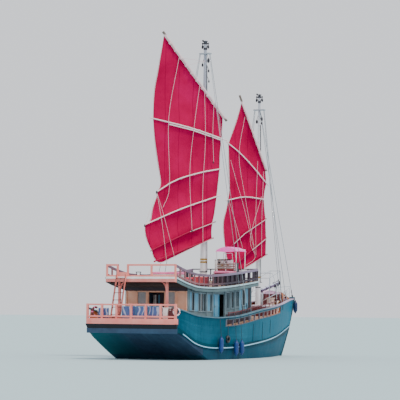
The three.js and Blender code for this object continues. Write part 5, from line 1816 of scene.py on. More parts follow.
# %% Stern seat
SEAT = {"back": 0.34, "front": 0.8, "y0": -1.72, "y1": 0.72, "top": 2.62, "back_top": 2.9}
base = bmesh.new()
floor_z = deck_z(0.55) + 0.002
block(base, spot(SEAT["back"], SEAT["y0"], floor_z), spot(SEAT["front"], SEAT["y1"], 2.5), 0.012)
back_high = spot(SEAT["back"] + 0.035, SEAT["y1"], SEAT["back_top"])
block(base, spot(SEAT["back"], SEAT["y0"], 2.49), back_high, 0.01)
for y in stations(SEAT["y0"] + 0.15, SEAT["y1"] - 0.15, 0.53):
    low = spot(SEAT["front"] - 0.006, y - 0.035, floor_z + 0.04)
    block(base, low, spot(SEAT["front"] + 0.014, y + 0.035, 2.46), 0.005)
keep(base, "stern_seat_base", BLUE_PAINT, replaces=["stern_seat"])
SEAT_PITCH = (SEAT["y1"] - SEAT["y0"]) / 3
for k in range(3):
    y0, y1 = SEAT["y0"] + k * SEAT_PITCH + 0.008, SEAT["y0"] + (k + 1) * SEAT_PITCH - 0.008
    low, high = spot(SEAT["back"] + 0.14, y0, 2.503), spot(SEAT["front"] - 0.005, y1, SEAT["top"])
    pad(f"stern_seat_pad_{k + 1}", low, high, NAVY_COVER, 0.8, piping=LILAC_COVER)
    low, high = spot(SEAT["back"] + 0.04, y0, 2.51), spot(SEAT["back"] + 0.135, y1, 2.95)
    pad(f"stern_back_pad_{k + 1}", low, high, NAVY_COVER, 0.7, piping=LILAC_COVER)
SEAT_PANEL = house_paint("painted_seat_back_boards", ["#3c5490", "#5870a8"], "#22386e", 0.6)
printed(SEAT_PANEL, "#c4cce4", 0.9, 0.8)
for k, (y0, y1) in enumerate(((-1.66, -0.96), (-0.9, -0.2), (-0.14, 0.66))):
    panel = bmesh.new()
    block(panel, spot(SEAT["back"] - 0.024, y0, 2.36), spot(SEAT["back"] - 0.002, y1, 2.88), 0.01)
    keep(panel, f"stern_seat_panel_{k + 1}", SEAT_PANEL)
low, high = spot(0.31, 1.5, deck_z(0.4) + 0.02), spot(0.45, 2.2, deck_z(0.4) + 0.64)
pad("stern_spare_cushion", low, high, NAVY_COVER, 0.6, piping=LILAC_COVER)

# %% Lifebuoys, locker and crate at the stern
buoy = bmesh.new()
BUOY_AT = spot(0.205, -2.72, 2.63)
BUOY_R, BUOY_THICK = 0.19, 0.036
tube(buoy, oval_arc(BUOY_AT, BUOY_R, BUOY_R, stations(0, 2 * math.pi, 0.22)), BUOY_THICK, 12)
keep(buoy, "lifebuoy", RING_FOAM)
bands = bmesh.new()
for t in (0.4, 2.0, 3.5, 5.1):
    turns = [t + d for d in (-0.12, -0.04, 0.04, 0.12)]
    tube(bands, oval_arc(BUOY_AT, BUOY_R, BUOY_R, turns), BUOY_THICK + 0.004, 12)
keep(bands, "lifebuoy_bands", CORAL_COVER)
horseshoe = bmesh.new()
HORSESHOE = (spot(0.3, 2.32, 2.6), 0.2, 0.24)
tube(horseshoe, oval_arc(*HORSESHOE, stations(-2.1, 2.1, 0.25)), 0.06, 12)
keep(horseshoe, "horseshoe_buoy", MAROON)
straps = bmesh.new()
for t in (-1.4, 0.0, 1.4):
    tube(straps, oval_arc(*HORSESHOE, [t - 0.14, t + 0.14]), 0.066, 12)
keep(straps, "horseshoe_buoy_straps", PINK_COVER)
locker = bmesh.new()
LOCKER_FOOT = deck_z(0.5) + 0.002
block(locker, spot(0.33, -2.1, LOCKER_FOOT), spot(0.75, -1.8, 2.82), 0.014)
block(locker, spot(0.325, -2.12, 2.82), spot(0.77, -1.78, 2.85), 0.01)
keep(locker, "stern_locker", CREAM_PAINT)
crate = bmesh.new()
for z in stations(LOCKER_FOOT + 0.05, 2.76, 0.11):
    beam(crate, spot(0.34, -2.44, z), spot(0.34, -2.16, z), 0.02, 0.06, 0.004)
    beam(crate, spot(0.7, -2.44, z), spot(0.7, -2.16, z), 0.02, 0.06, 0.004)
for x in (0.345, 0.695):
    for y in (-2.43, -2.17):
        beam(crate, spot(x, y, LOCKER_FOOT), spot(x, y, 2.8), 0.04, 0.04, 0.004)
block(crate, spot(0.35, -2.42, LOCKER_FOOT), spot(0.69, -2.18, 2.7), 0.01)
keep(crate, "slatted_crate", MAROON)

# %% Stern lantern and a cleat on each quarter
lantern = bmesh.new()
LAMP = spot(ROOF_AFT + 0.16, 0.19, roof_z(ROOF_AFT))
for y in (-0.12, 0.12):
    beam(lantern, LAMP + Vector((0, y, 0.0)), LAMP + Vector((0, y, 0.24)), 0.035, 0.035, 0.004)
beam(lantern, LAMP + Vector((0, -0.15, 0.25)), LAMP + Vector((0, 0.15, 0.25)), 0.12, 0.035, 0.006)
keep(lantern, "stern_lantern_frame", DARK_ROPE)
lens = bmesh.new()
lathe(lens, [(0.0, 0.01), (0.075, 0.02), (0.085, 0.1), (0.075, 0.18), (0.0, 0.19)], LAMP, UP, 18)
keep(lens, "stern_lantern_lens", LAMP_LENS)
cleats = bmesh.new()
for a in (1.3, 12.6, 18.6):
    for side in (-1, 1):
        middle = on_cap(a, side, 0.06, 0)
        for x in (-0.06, 0.06):
            tube(cleats, [middle + Vector((x, 0, -0.01)), middle + Vector((x, 0, 0.05))], 0.014)
        tube(cleats, [middle + Vector((x, 0, 0.055 + abs(x) * 0.08)) for x in (-0.16, -0.08, 0, 0.08, 0.16)],
             [0.008, 0.015, 0.017, 0.015, 0.008])
keep(cleats, "cap_rail_cleats", BRONZE)

# %% [markdown]
# ## On the upper deck
#
# A bench with coral cushions stands along the side rail, a sunbed with a thick pink mattress beside the
# mast, and the helm has a console, a bench with a slatted back and a small awning on four posts.

# %% Bench and its cushions
BENCH = {"aft": 3.7, "front": 5.5, "y0": -1.84, "y1": -1.34}
BENCH_TOP = roof_z(4.55) + 0.38
eased("bench", WEATHERED, 0.01)
slats = bmesh.new()
for z in (BENCH_TOP - 0.06, BENCH_TOP - 0.17, BENCH_TOP - 0.28):
    y = BENCH["y1"] + 0.008
    beam(slats, spot(BENCH["aft"] + 0.04, y, z), spot(BENCH["front"] - 0.04, y, z), 0.02, 0.07, 0.004)
keep(slats, "bench_slats", MAROON)
BENCH_PITCH = (BENCH["front"] - BENCH["aft"]) / 3
for k in range(3):
    a0, a1 = BENCH["aft"] + k * BENCH_PITCH + 0.01, BENCH["aft"] + (k + 1) * BENCH_PITCH - 0.01
    low, high = spot(a0, BENCH["y0"] + 0.01, BENCH_TOP + 0.003), spot(a1, BENCH["y1"], BENCH_TOP + 0.11)
    cover = CORAL_COVER if k < 2 else CRIMSON_COVER
    pad(f"bench_pad_{k + 1}", low, high, cover, 0.8, piping=PINK_COVER, dents=buttons(low, high, 2, 1),
        replaces=["bench_cushion"] if k == 0 else ())
    back_low = spot(a0, BENCH["y0"] - 0.14, roof_z(a0) + 0.03)
    back_high = spot(a1, BENCH["y0"] - 0.005, BENCH_TOP + 0.21)
    pad(f"bench_back_pad_{k + 1}", back_low, back_high, cover, 0.7)

# %% Low loungers at the aft end of the upper deck
LOUNGER = {"aft": 1.55, "front": 2.75}
lounger = bmesh.new()
lounger_z = roof_z(LOUNGER["aft"]) + 0.23
for k, (y0, y1) in enumerate(((-1.95, -1.2), (-1.1, -0.4))):
    rows = stations(LOUNGER["aft"], LOUNGER["front"], 0.2)
    skin(lounger, [upright_ring(a, y0, y1, roof_z(a) + 0.003, lounger_z) for a in rows])
    low = spot(LOUNGER["aft"] + 0.02, y0 + 0.02, lounger_z + 0.003)
    high = spot(LOUNGER["front"] - 0.02, y1 - 0.02, lounger_z + 0.14)
    pad(f"lounger_pad_{k + 1}", low, high, PINK_COVER, 0.8, piping=PINK_COVER, dents=buttons(low, high, 3, 2))
keep(lounger, "lounger_bases", CREAM_PAINT)

# %% Sunbed beside the mast
eased("sun_box", DARK_STAIN_AND_SHADE, 0.01)
SUN = {"aft": 8.08, "front": 9.24, "y0": -1.92, "y1": -0.88, "foot": roof_z(8.7) + 0.6}
low = spot(SUN["aft"], SUN["y0"], SUN["foot"] + 0.003)
high = spot(SUN["front"], SUN["y1"], SUN["foot"] + 0.155)
pad("sun_mattress", low, high, PINK_COVER, 0.8, replaces=["sun_cushion"], piping=CRIMSON_COVER,
    dents=buttons(low, high, 3, 3))
valance = bmesh.new()
block(valance, spot(SUN["aft"] - 0.012, SUN["y0"] - 0.012, SUN["foot"] - 0.16),
      spot(SUN["front"] + 0.012, SUN["y1"] + 0.012, SUN["foot"] - 0.004), 0.008)
keep(valance, "sun_box_top_board", MAROON)
boards = bmesh.new()
for a in stations(SUN["aft"] + 0.05, SUN["front"] - 0.05, 0.26):
    for y in (SUN["y0"] - 0.008, SUN["y1"] + 0.008):
        beam(boards, spot(a, y, roof_z(a) + 0.01), spot(a, y, SUN["foot"] - 0.16), 0.05, 0.02, 0.004)
keep(boards, "sun_box_battens", MAROON)

# %% Helm bench
HELM_SEAT = {"aft": 9.35, "front": 9.78, "y0": -1.65, "y1": -0.37}
helm_base = bmesh.new()
seat_foot = roof_z(9.6) - 0.01
block(helm_base, spot(HELM_SEAT["aft"], HELM_SEAT["y0"], seat_foot),
      spot(HELM_SEAT["front"], HELM_SEAT["y1"], 4.98), 0.012)
for y in stations(HELM_SEAT["y0"] + 0.12, HELM_SEAT["y1"] - 0.1, 0.35):
    block(helm_base, spot(HELM_SEAT["aft"] - 0.008, y - 0.025, seat_foot + 0.03),
          spot(HELM_SEAT["aft"] + 0.008, y + 0.025, 4.94), 0.004)
keep(helm_base, "helm_seat_base", MAROON, replaces=["helm_seat"])
helm_back = bmesh.new()
for y in (-1.62, -1.08, -0.55):
    beam(helm_back, spot(9.385, y, 4.96), spot(9.385, y, 5.44), 0.035, 0.05, 0.006)
keep(helm_back, "helm_back_posts", CREAM_PAINT)
back_slats = bmesh.new()
for z in (5.1, 5.23, 5.36):
    beam(back_slats, spot(9.362, -1.64, z), spot(9.362, -0.53, z), 0.022, 0.075, 0.006)
keep(back_slats, "helm_back_slats", YARD_WOOD)
for k, (y0, y1) in enumerate(((-1.64, -0.98), (-0.97, -0.375))):
    low, high = spot(9.41, y0, 4.985), spot(HELM_SEAT["front"], y1, 5.085)
    pad(f"helm_pad_{k + 1}", low, high, CRIMSON_COVER, piping=CRIMSON_COVER)
low, high = spot(9.36, -1.735, 4.62), spot(9.78, -1.655, 5.47)
pad("helm_side_pad", low, high, BLACK_VINYL, 0.7)

# %% Console, gauges, windscreen and lever
eased("helm_console", WHITE_PAINT, 0.02)
helm_top = bmesh.new()
block(helm_top, spot(10.09, -1.04, 5.585), spot(10.43, -0.01, 5.628), 0.012)
block(helm_top, spot(10.16, -0.98, 5.62), spot(10.4, -0.08, 5.66), 0.012)
keep(helm_top, "helm_dash", BLACK_VINYL)
screen = bmesh.new()
WINDSCREEN_A, WINDSCREEN_TOP = 10.32, 6.0
for y in (-1.02, -0.46):
    beam(screen, spot(10.38, y, 5.62), spot(WINDSCREEN_A, y, WINDSCREEN_TOP), 0.03, 0.03, 0.004)
ends = [spot(WINDSCREEN_A, y, WINDSCREEN_TOP) for y in (-1.035, -0.445)]
beam(screen, *ends, 0.035, 0.035, 0.004)
keep(screen, "windscreen_frame", WHITE_PAINT)
lever = bmesh.new()
tube(lever, [spot(10.18, -0.12, 5.63), spot(10.14, -0.12, 5.8)], 0.012)
lathe(lever, [(0.0, -0.03), (0.028, -0.02), (0.03, 0.01), (0.0, 0.035)], spot(10.138, -0.12, 5.82), UP, 14)
for y in (-0.75, -0.3):
    lathe(lever, [(0.0, 0.0), (0.07, 0.0), (0.07, 0.012), (0.058, 0.016), (0.0, 0.016)], spot(10.1, y, 5.46),
          -FORWARD, 24)
keep(lever, "helm_lever_and_gauges", BLACK_VINYL)
panels = bmesh.new()
PANEL_A, PANEL_LOW, PANEL_HIGH = 10.094, 4.4, 5.2
for y0, y1 in ((-1.0, -0.56), (-0.5, -0.05)):
    for y in (y0, y1):
        beam(panels, spot(PANEL_A, y, PANEL_LOW), spot(PANEL_A, y, PANEL_HIGH), 0.03, 0.014, 0.004)
    for z in (PANEL_LOW, PANEL_HIGH):
        beam(panels, spot(PANEL_A, y0, z), spot(PANEL_A, y1, z), 0.014, 0.03, 0.004)
keep(panels, "console_door_frames", WHITE_PAINT)

# %% Wheel
eased("helm_wheel", YARD_WOOD, 0)
grips = bmesh.new()
WHEEL = spot(10.03, -0.525, 5.32)
for k in range(6):
    turn = k * math.pi / 3
    way = Vector((0, math.cos(turn), math.sin(turn)))
    lathe(grips, [(0.0, 0.34), (0.014, 0.345), (0.02, 0.38), (0.016, 0.41), (0.0, 0.418)], WHEEL, way, 12)
BOSS = [(0.0, -0.036), (0.045, -0.034), (0.052, -0.02), (0.052, 0.02), (0.0, 0.02)]
lathe(grips, BOSS, WHEEL, FORWARD, 20)
keep(grips, "wheel_grips_and_boss", BRASS, "helm_wheel")

# %% Awning over the helm
CANOPY = {"aft": 9.27, "front": 10.5, "y0": -1.83, "y1": -0.47, "edge": 6.1, "crown": 6.35}
eased("canopy_frame", WHITE_PAINT, 0)


def awning(u, v):
    """An arch across the ship that sags a little between its hoops and hangs at its edges."""
    across = 2 * v - 1
    arch = 1 - abs(across) ** 2.6
    sag = 0.02 * math.sin(2 * math.pi * u) ** 2 * (1 - across**2)
    droop = 0.03 * max(0, abs(2 * u - 1) - 0.85) / 0.15
    z = CANOPY["edge"] + (CANOPY["crown"] - CANOPY["edge"]) * arch - sag - droop
    return spot(CANOPY["aft"] + u * (CANOPY["front"] - CANOPY["aft"]),
                CANOPY["y0"] + v * (CANOPY["y1"] - CANOPY["y0"]), z)


def flap(u, v):
    """The flap that closes the arch at its aft end, from the arch at u = 0 down to its free edge."""
    top, across = awning(0, v), 2 * v - 1
    return top + UP * u * (CANOPY["edge"] - 0.04 * (1 - across**2) - top.z)


canvas = bmesh.new()
surface(canvas, (20, 24), awning, lambda u, v: (1.23 * u, 1.6 * v))
surface(canvas, (6, 24), flap, lambda u, v: (-0.25 * u, 1.6 * v))
bmesh.ops.remove_doubles(canvas, verts=canvas.verts, dist=1e-4)
canopy_area = sum(face.calc_area() for face in canvas.faces)
canopy_piece = keep(canvas, "helm_awning", PINK_CANVAS, replaces=["canopy"], corner=70)
thicken(canopy_piece, 0.005)
hem = bmesh.new()
for u in (0, 1):
    tube(hem, [awning(u, v) for v in stations(0, 1, 0.05)], 0.009, 6)
for v in (0, 1):
    tube(hem, [awning(u, v) for u in stations(0, 1, 0.05)], 0.009, 6)
tube(hem, [flap(1, v) for v in stations(0.02, 0.98, 0.05)], 0.009, 6)
hem_piece = keep(hem, "helm_awning_hem", PINK_CANVAS)

# %% [markdown]
# ## Foredeck
#
# Ahead of the cabin lie a hatch, two mattresses on a low base, a chest, the windlass and a rope locker.
# Over them the awning is furled on its pole: a roll of white canvas, modelled as the spiral that it is, so
# its ends show their turns, and tied with short lashings that nip it in.

# %% Furled awning
ROLL = {
    "aft": 16.23, "front": 18.7, "aft_z": 3.9, "front_z": 4.4, "radius": 0.125, "core": 0.03, "turns": 3.5,
}
# Below this height, up from the pole, the roll's faces take violet painted shade.
SHADE_LINE_TOP = 0.045  # the violet lining shows below this, up from the pole
ROLL_TIES = stations(0.06, 0.94, 0.22)
roll_start = spot(ROLL["aft"], 0, ROLL["aft_z"])
roll_end = spot(ROLL["front"], 0, ROLL["front_z"])
roll_way = (roll_end - roll_start).normalized()
roll_rise = roll_way.cross(PORT)


def furled(u, v):
    """A spiral of canvas round the pole: v winds outwards, u runs along."""
    nipped = 1 - 0.16 * max(math.exp(-(((u - tie) / 0.022) ** 2)) for tie in ROLL_TIES)
    full = 1 + 0.03 * math.sin(23 * u + 1) + 0.02 * math.sin(41 * u)
    radius = (ROLL["core"] + (ROLL["radius"] - ROLL["core"]) * v) * nipped * (full if v > 0.3 else 1)
    turn = -0.6 + 2 * math.pi * ROLL["turns"] * v
    return roll_start.lerp(roll_end, u) + radius * (math.cos(turn) * PORT + math.sin(turn) * roll_rise)


roll = bmesh.new()
surface(roll, (56, 90), furled, lambda u, v: (2.52 * u, 1.75 * v))
roll_area = sum(face.calc_area() for face in roll.faces)
# Faces below that height take the violet painted shade.
for face in roll.faces:
    middle = face.calc_center_median() - roll_start
    if (middle - middle.project(roll_way)).dot(roll_rise) < SHADE_LINE_TOP:
        face.material_index = 1
roll_piece = keep(roll, "furled_awning", [WHITE_CANVAS, ROLL_SHADE_CANVAS], replaces=["awning_roll"], corner=70)
thicken(roll_piece, 0.006)
eased("awning_stand", STEEL, 0.005)
roll_ties = bmesh.new()
for tie in ROLL_TIES:
    middle = roll_start.lerp(roll_end, tie)
    for shift in (-0.014, 0.014):
        ring = [middle + shift * roll_way + 0.113 * (math.cos(t) * PORT + math.sin(t) * roll_rise)
                for t in stations(0, 2 * math.pi, 0.35)]
        tube(roll_ties, ring, 0.009, 6)
ties_piece = keep(roll_ties, "furled_awning_ties", DARK_ROPE)
pole = bmesh.new()
tube(pole, [roll_start - 0.06 * roll_way, roll_end + 0.02 * roll_way], 0.022, 12)
keep(pole, "awning_pole", STEEL)
gear = bmesh.new()
collar = [(0.03, -0.05), (0.14, -0.05), (0.15, -0.04), (0.15, 0.03), (0.14, 0.04), (0.03, 0.04)]
for share in (0.8, 1.0):
    lathe(gear, collar, roll_start.lerp(roll_end, share), roll_way, 24)
elbow = roll_end + 0.12 * roll_way
tube(gear, [roll_end + 0.02 * roll_way, elbow, elbow + 0.2 * UP], 0.02)
tube(gear, [roll_end - 0.5 * roll_way - 0.17 * roll_rise, roll_end - 0.17 * roll_rise], 0.03)
keep(gear, "awning_roller_gear", BLACK_VINYL)

# %% Pulpit and the awning's side rods
pulpit = bmesh.new()
NOSE = 20.3
nose_z = cap_z(NOSE) + 0.74
for side in (-1, 1):
    rail = []
    for a, rise in ((17.0, 0.62), (18.2, 0.66), (19.3, 0.7)):
        foot = on_cap(a, side, 0.07, -0.01)
        top = foot + UP * rise
        tube(pulpit, [foot, top], 0.014, 8)
        rail.append(top)
    rail.append(spot(NOSE, side * 0.12, nose_z))
    tube(pulpit, smooth_path(rail, 5), 0.015, 8)
    tube(pulpit, smooth_path([p - UP * 0.32 for p in rail], 5), 0.011, 8)
tube(pulpit, [spot(NOSE, -0.12, nose_z), spot(NOSE + 0.06, 0, nose_z + 0.01), spot(NOSE, 0.12, nose_z)],
     0.015, 8)
BAR_A, BAR_HALF, BAR_Z = 16.9, 0.465, 4.95
for y in (-BAR_HALF, BAR_HALF):
    start, end = spot(11.42, y / 0.75, roof_z(11.4) + 0.62), spot(BAR_A, y, BAR_Z)
    tube(pulpit, [start, start.lerp(end, 0.5) + UP * 0.05, end], 0.013, 8)
tube(pulpit, [spot(BAR_A, -BAR_HALF, BAR_Z), spot(BAR_A, BAR_HALF, BAR_Z)], 0.013, 8)
for y in (-BAR_HALF, BAR_HALF):
    tube(pulpit, [spot(BAR_A, y, BAR_Z), spot(BAR_A, y * 2.4, cap_z(BAR_A) - 0.01)], 0.014, 8)
keep(pulpit, "pulpit_and_awning_rods", STEEL)

# %% Windlass, hatch and chest
WINDLASS = 17.6
cheeks, drum = bmesh.new(), bmesh.new()
deck_here = deck_z(WINDLASS) + 0.002
for y in (-0.54, -0.22):
    block(cheeks, spot(17.4, y - 0.025, deck_here), spot(17.8, y + 0.025, 3.1), 0.015)
    lathe(cheeks, mirrored([(0.0, 0.03), (0.15, 0.03), (0.16, 0.02)]), spot(WINDLASS, y, 3.16), PORT, 24)
block(cheeks, spot(17.35, -0.56, deck_here), spot(17.85, -0.18, deck_here + 0.09), 0.02)
keep(cheeks, "windlass_cheeks", CREAM_PAINT, replaces=["windlass"])
DRUM = [
    (0.0, 0.26), (0.09, 0.26), (0.1, 0.24), (0.062, 0.19), (0.062, 0.12), (0.12, 0.11), (0.12, 0.09),
    (0.075, 0.07),
]
lathe(drum, mirrored(DRUM), spot(WINDLASS, -0.38, 3.2), PORT, 24)
crank = ((WINDLASS, -0.1, 3.2), (WINDLASS, -0.07, 3.2), (17.72, -0.07, 3.3), (17.72, 0.05, 3.3))
tube(drum, [spot(*place) for place in crank], 0.016)
keep(drum, "windlass_drum", BRONZE)
hatch = bmesh.new()
hatch_foot = deck_z(12.1)
block(hatch, spot(12.1, -0.75, hatch_foot + 0.002), spot(13.1, 0.75, hatch_foot + 0.36), 0.02)
block(hatch, spot(12.05, -0.8, hatch_foot + 0.36), spot(13.15, 0.8, hatch_foot + 0.41), 0.015)
for y in (-0.4, 0.0, 0.4):
    block(hatch, spot(12.15, y - 0.02, hatch_foot + 0.4), spot(13.05, y + 0.02, hatch_foot + 0.43), 0.005)
keep(hatch, "fore_hatch", ORANGE_PLANK)
chest = bmesh.new()
CHEST = spot(16.95, -0.34, deck_z(16.95))
block(chest, CHEST + Vector((-0.16, -0.18, 0.002)), CHEST + Vector((0.16, 0.18, 0.8)), 0.02)
block(chest, CHEST + Vector((-0.19, -0.21, 0.8)), CHEST + Vector((0.19, 0.21, 0.86)), 0.015)
BEIGE_PAINT = house_paint("beige_oil_paint_on_chest", ["#d8bcb0", "#ecd4c8"], "#a88c80", 0.6)
keep(chest, "foredeck_chest", BEIGE_PAINT)

# %% Rope locker on the port bow, with its crowned lid, and the raised boards ahead of it
LOCKER_TOP, LOCKER_INNER = 3.72, 0.12
LID_PAINT = house_paint("pale_pink_paint_on_lid", ["#dca8cc", "#ecc4e0"], "#b488a4", 0.6)
bow_locker, lid, bow_boards = bmesh.new(), bmesh.new(), bmesh.new()
locker_rows = stations(17.2, 19.3, 0.3)


def locker_out(a):
    return min(0.8, side_b(a, deck_z(a)) - 0.16)


skin(bow_locker, [
    upright_ring(a, LOCKER_INNER, locker_out(a), deck_z(a) + 0.002, LOCKER_TOP) for a in locker_rows
])
for a in locker_rows[1:-1]:
    foot = spot(a, LOCKER_INNER - 0.01, deck_z(a) + 0.01)
    beam(bow_locker, foot, spot(a, LOCKER_INNER - 0.01, LOCKER_TOP - 0.01), 0.05, 0.025, 0.004)
LID_INNER = 0.09


def lid_ring(a):
    """A section of the lid: flat below, and crowned most at the middle of its length."""
    crown, out = 0.2 * (1 - ((a - 18.25) / 1.1) ** 2), locker_out(min(a, 19.3)) + 0.03
    section = [(LID_INNER, 0.0), (out, 0.0), (out, 0.03 + 0.6 * crown), ((out + LID_INNER) / 2, 0.04 + crown),
               (LID_INNER, 0.03 + 0.8 * crown)]
    return [spot(a, y, LOCKER_TOP + 0.001 + z) for y, z in section]


skin(lid, [lid_ring(a) for a in stations(17.16, 19.34, 0.15)])
BOARDS_START, BOARDS_END = 19.36, 20.4


def boards_ring(a):
    """A section of the raised boards, which come down towards the stem."""
    out, top = max(side_b(a, deck_z(a)) - 0.12, 0.1), 3.84 - 0.32 * (a - BOARDS_START)
    return upright_ring(a, 0.05, out, deck_z(a), top)


skin(bow_boards, [boards_ring(a) for a in stations(BOARDS_START, BOARDS_END, 0.2)])
keep(bow_locker, "bow_locker", MAROON)
keep(lid, "bow_locker_lid", LID_PAINT)
keep(bow_boards, "bow_boards", ORANGE_PLANK)

# %% [markdown]
# ## Waterways
#
# Along each side the planked deck ends at a waterway: a broad plank of hardwood that carries the water to
# the freeing ports. Its dark colour is painted shade, which darkens what shows through the bays. It is a
# strip of the deck's edge, swept along the sheer like the other mouldings. Over the foredeck stand two light
# steel hoops with a bar on each side: the frame that the awning is drawn over in port. They are thin tubes.

# %% Waterways and the frame for the awning
# Dark waterways along the deck edge: painted shade seen through the bays of the bulwark.
shade_waterways = bmesh.new()
WATERWAY_SECTION = [(-0.32, 0.002), (-0.1, 0.002), (-0.1, 0.026), (-0.32, 0.026)]
side_moulding(
    shade_waterways, stations(3.2, 17.0, 0.2), lambda a: (side_b(a, deck_z(a)), deck_z(a)), WATERWAY_SECTION
)
keep(shade_waterways, "shade_waterways", DARK_STAIN_AND_SHADE)
frame_bars = bmesh.new()
HOOPS, HOOP_HALF, HOOP_BAR = ((16.75, 4.66), (18.3, 5.12)), 0.35, 0.017
for a, top in HOOPS:
    for side in (-1, 1):
        tube(frame_bars, [spot(a, side * HOOP_HALF, deck_z(a)), spot(a, side * HOOP_HALF, top)], HOOP_BAR)
    tube(frame_bars, [spot(a, -HOOP_HALF, top), spot(a, HOOP_HALF, top)], HOOP_BAR)
for side in (-1, 1):
    tube(frame_bars, [spot(a, side * HOOP_HALF, top) for a, top in HOOPS], HOOP_BAR)
keep(frame_bars, "awning_hoops", STEEL)

# %% Mattresses on the foredeck
eased("sunbed", MAROON, 0.01)
BED = {"aft": 14.0, "front": 16.1, "y0": -1.18, "y1": -0.43, "foot": 2.933, "top": 3.05}
for k in range(2):
    a0 = BED["aft"] + k * 1.05 + 0.008
    low, high = spot(a0, BED["y0"], BED["foot"]), spot(a0 + 1.034, BED["y1"], BED["top"])
    pad(f"foredeck_mattress_{k + 1}", low, high, LILAC_COVER, 0.7, piping=MAROON_COVER,
        replaces=["sunbed_cushion"] if k == 0 else (), dents=buttons(low, high, 3, 2))

# %% [markdown]
# ## Fenders and what trails down the side
#
# Each fender is a moulded vinyl cylinder with a ribbed neck and an eye at both ends, hung from the cap rail
# on a short rope. It is turned from one profile.

# %% Fenders
FENDER_R = 0.13
FENDER_END = [
    (0.0, 0.0), (0.035, 0.004), (0.045, 0.05), (0.06, 0.06), (0.066, 0.09), (0.1, 0.12),
    (FENDER_R - 0.002, 0.19), (FENDER_R, 0.3),
]
KNOT = [(0.0, -0.03), (0.022, -0.02), (0.026, 0.0), (0.022, 0.02), (0.0, 0.03)]
# Distance from the stern, height of the foot, and length
FENDERS = {"fender_1": (4.75, 0.37, 0.92), "fender_2": (6.6, 0.2, 0.88), "fender_3": (7.35, 0.22, 0.86),
           "fender_4": (20.45, 2.56, 0.78)}
for node, (a, foot, length) in FENDERS.items():
    low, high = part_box(node)
    middle_y = low[1] + FENDER_R
    body = bmesh.new()
    r, top = FENDER_R - 0.002, foot + length
    profile = [(x, foot + z) for x, z in FENDER_END] + [(x, top - z) for x, z in FENDER_END[::-1]]
    lathe(body, profile, spot(a, middle_y, 0), UP, 24)
    for share in (0.3, 0.5, 0.7):
        z = foot + share * length
        lathe(body, [(r, z - 0.012), (r + 0.004, z - 0.004), (r + 0.004, z + 0.004), (r, z + 0.012)],
              spot(a, middle_y, 0), UP, 24)
    keep(body, node + "_body", FENDER_VINYL if node != "fender_4" else DARK_FENDER, replaces=[node])
    hang = bmesh.new()
    rail = on_cap(a, -1, -0.045, -0.02)
    eye = spot(a, middle_y, top - 0.01)
    points = [eye, eye.lerp(rail, 0.5) + Vector((0, 0.004, 0)), rail, rail + Vector((0, 0.03, 0.03)),
              rail + Vector((0, 0.1, 0.026))]
    tube(hang, points, 0.011, 6)
    lathe(hang, KNOT, eye + UP * 0.03, UP, 10)
    keep(hang, node + "_lanyard", DARK_ROPE)

# %% Ring fender
ring_fender = bmesh.new()
RING_A, RING_R = 5.8, 0.16
RING_AT = on_side(RING_A, -1, 0.065, 1.12)
around = [RING_AT + RING_R * Vector((math.cos(t), 0, math.sin(t))) for t in stations(0, 2 * math.pi, 0.26)]
tube(ring_fender, around, 0.055, 10)
keep(ring_fender, "ring_fender", BLACK_VINYL)
ring_line = bmesh.new()
rail = on_cap(RING_A, -1, -0.02, -0.02)
line = [RING_AT + UP * RING_R, RING_AT.lerp(rail, 0.6), rail, rail + Vector((0, 0.1, 0.045))]
tube(ring_line, line, 0.011, 6)
keep(ring_line, "ring_fender_lanyard", DARK_ROPE)

# %% Pipes down the side
runs = bmesh.new()
for a, top_drop, length in ((9.55, 0.7, 0.95), (11.3, 0.72, 1.0), (13.0, 0.72, 0.8)):
    for side in (-1, 1):
        points = []
        for k in range(6):
            z = cap_z(a) - top_drop - length * k / 5
            z = max(z, along(LINES, WALE_Z, a) + 0.3)
            points.append(spot(a + 0.01 * k, side * (side_b(a, z) + 0.006), z))
        tube(runs, points, 0.012, 6)
keep(runs, "side_pipes", DARK_ROPE)

# %% Rudder and propeller
# The rudder takes the same painted shade as the counter above it.
eased("rudder", COUNTER_SHADE_ENAMEL, 0.012)
straps = bmesh.new()
for z in (-0.72, -1.2):
    for side in (-1, 1):
        y0, y1 = sorted((side * 0.035, side * 0.045))
        block(straps, spot(3.5, y0, z - 0.04), spot(4.3, y1, z + 0.04), 0.004)
        for a in stations(3.6, 4.2, 0.2):
            rivet = [(0.0, 0.0), (0.016, 0.0), (0.012, 0.01), (0.0, 0.013)]
            lathe(straps, rivet, spot(a, side * 0.045, z), side * PORT, 10)
keep(straps, "rudder_straps", BRONZE, "rudder")
screw = bmesh.new()
SCREW = spot(5.0, 0, -1.01)
HUB = [(0.0, -0.1), (0.03, -0.095), (0.05, -0.06), (0.055, 0.0), (0.055, 0.1), (0.046, 0.398), (0.0, 0.398)]
lathe(screw, HUB, SCREW, FORWARD, 28)
# Radius, half the chord, and pitch in degrees
BLADE = [
    (0.03, 0.06, 55), (0.12, 0.115, 46), (0.22, 0.135, 36), (0.32, 0.105, 29), (0.375, 0.055, 26),
    (0.395, 0.015, 25),
]
for k in range(4):
    turn = Matrix.Rotation(k * math.pi / 2, 4, "X")
    rings = []
    for radius, half, pitch in BLADE:
        angle = math.radians(pitch)
        ring = []
        for i in range(12):
            t = 2 * math.pi * i / 12
            chord, thick = half * math.cos(t), 0.011 * math.sin(t) * (1.1 - radius / 0.5)
            x = chord * math.sin(angle) + thick * math.cos(angle)
            y = chord * math.cos(angle) - thick * math.sin(angle)
            ring.append(SCREW + turn @ Vector((x, y, radius)))
        rings.append(ring)
    skin(screw, rings)
keep(screw, "propeller_blades_and_hub", BRONZE, "propeller", ["propeller"])

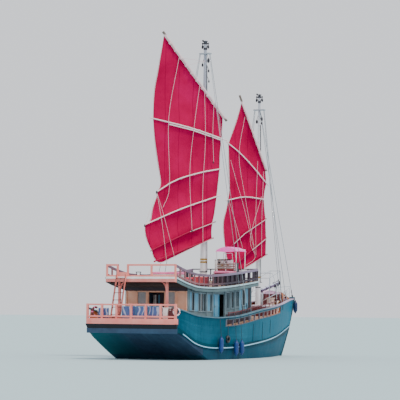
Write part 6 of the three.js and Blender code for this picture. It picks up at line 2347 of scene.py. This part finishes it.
# %% [markdown]
# ## Stuffing the cushions
#
# All the pads are remeshed and blown up together, in one run of the timeline, and their shapes are kept.

# %% Even squares, then air pressure
def own_shape(piece):
    """Makes what the modifiers show the piece's own mesh."""
    graph = bpy.context.evaluated_depsgraph_get()
    shown = bpy.data.meshes.new_from_object(piece.evaluated_get(graph))
    piece.modifiers.clear()
    piece.data = shown


for piece, low, high, dents, fill in PADS:
    even = piece.modifiers.new("even", "REMESH")
    even.mode, even.voxel_size, even.use_smooth_shade = "VOXEL", PAD_VOXEL, True
bpy.context.view_layer.update()
for piece, *_ in PADS:
    own_shape(piece)
resting = {piece.name: [vert.co.copy() for vert in piece.data.vertices] for piece, *_ in PADS}
for piece, *_ in PADS:
    air = piece.modifiers.new("air", "CLOTH")
    air.settings.quality = 4
    air.settings.use_pressure = True
    air.settings.uniform_pressure_force = PAD_PRESSURE
    air.settings.effector_weights.gravity = 0
for step in range(1, PAD_FRAMES + 1):
    bpy.context.scene.frame_set(step)
for piece, *_ in PADS:
    own_shape(piece)
bpy.context.scene.frame_set(1)

# %% Caps, buttons and a smoother skin
BUTTON_R, BUTTON_DEEP = 0.07, 0.022
for piece, low, high, dents, fill in PADS:
    grow = Vector((0.006, 0.006, 0.012))
    for vert, start in zip(piece.data.vertices, resting[piece.name]):
        moved = vert.co - start
        if moved.length > PAD_CAP:
            moved *= PAD_CAP / moved.length
        place = start + moved
        for axis in range(3):
            top = high[axis] + grow[axis]
            place[axis] = min(max(place[axis], low[axis] - (0.006 if axis < 2 else 0)), top)
        for dent in dents:
            near = (place.xy - dent.xy).length
            if place.z > (low.z + high.z) / 2 and near < 2 * BUTTON_R:
                place.z -= BUTTON_DEEP * math.exp(-((near / BUTTON_R) ** 2) * 2)
        vert.co = place
    finer_skin = piece.modifiers.new("finer", "SUBSURF")
    finer_skin.levels = finer_skin.render_levels = 1
print("pads", len(PADS), "faces", sum(len(piece.data.polygons) for piece, *_ in PADS))

# %% A loop over the sails that does nothing
for name, sail in SAILS.items():
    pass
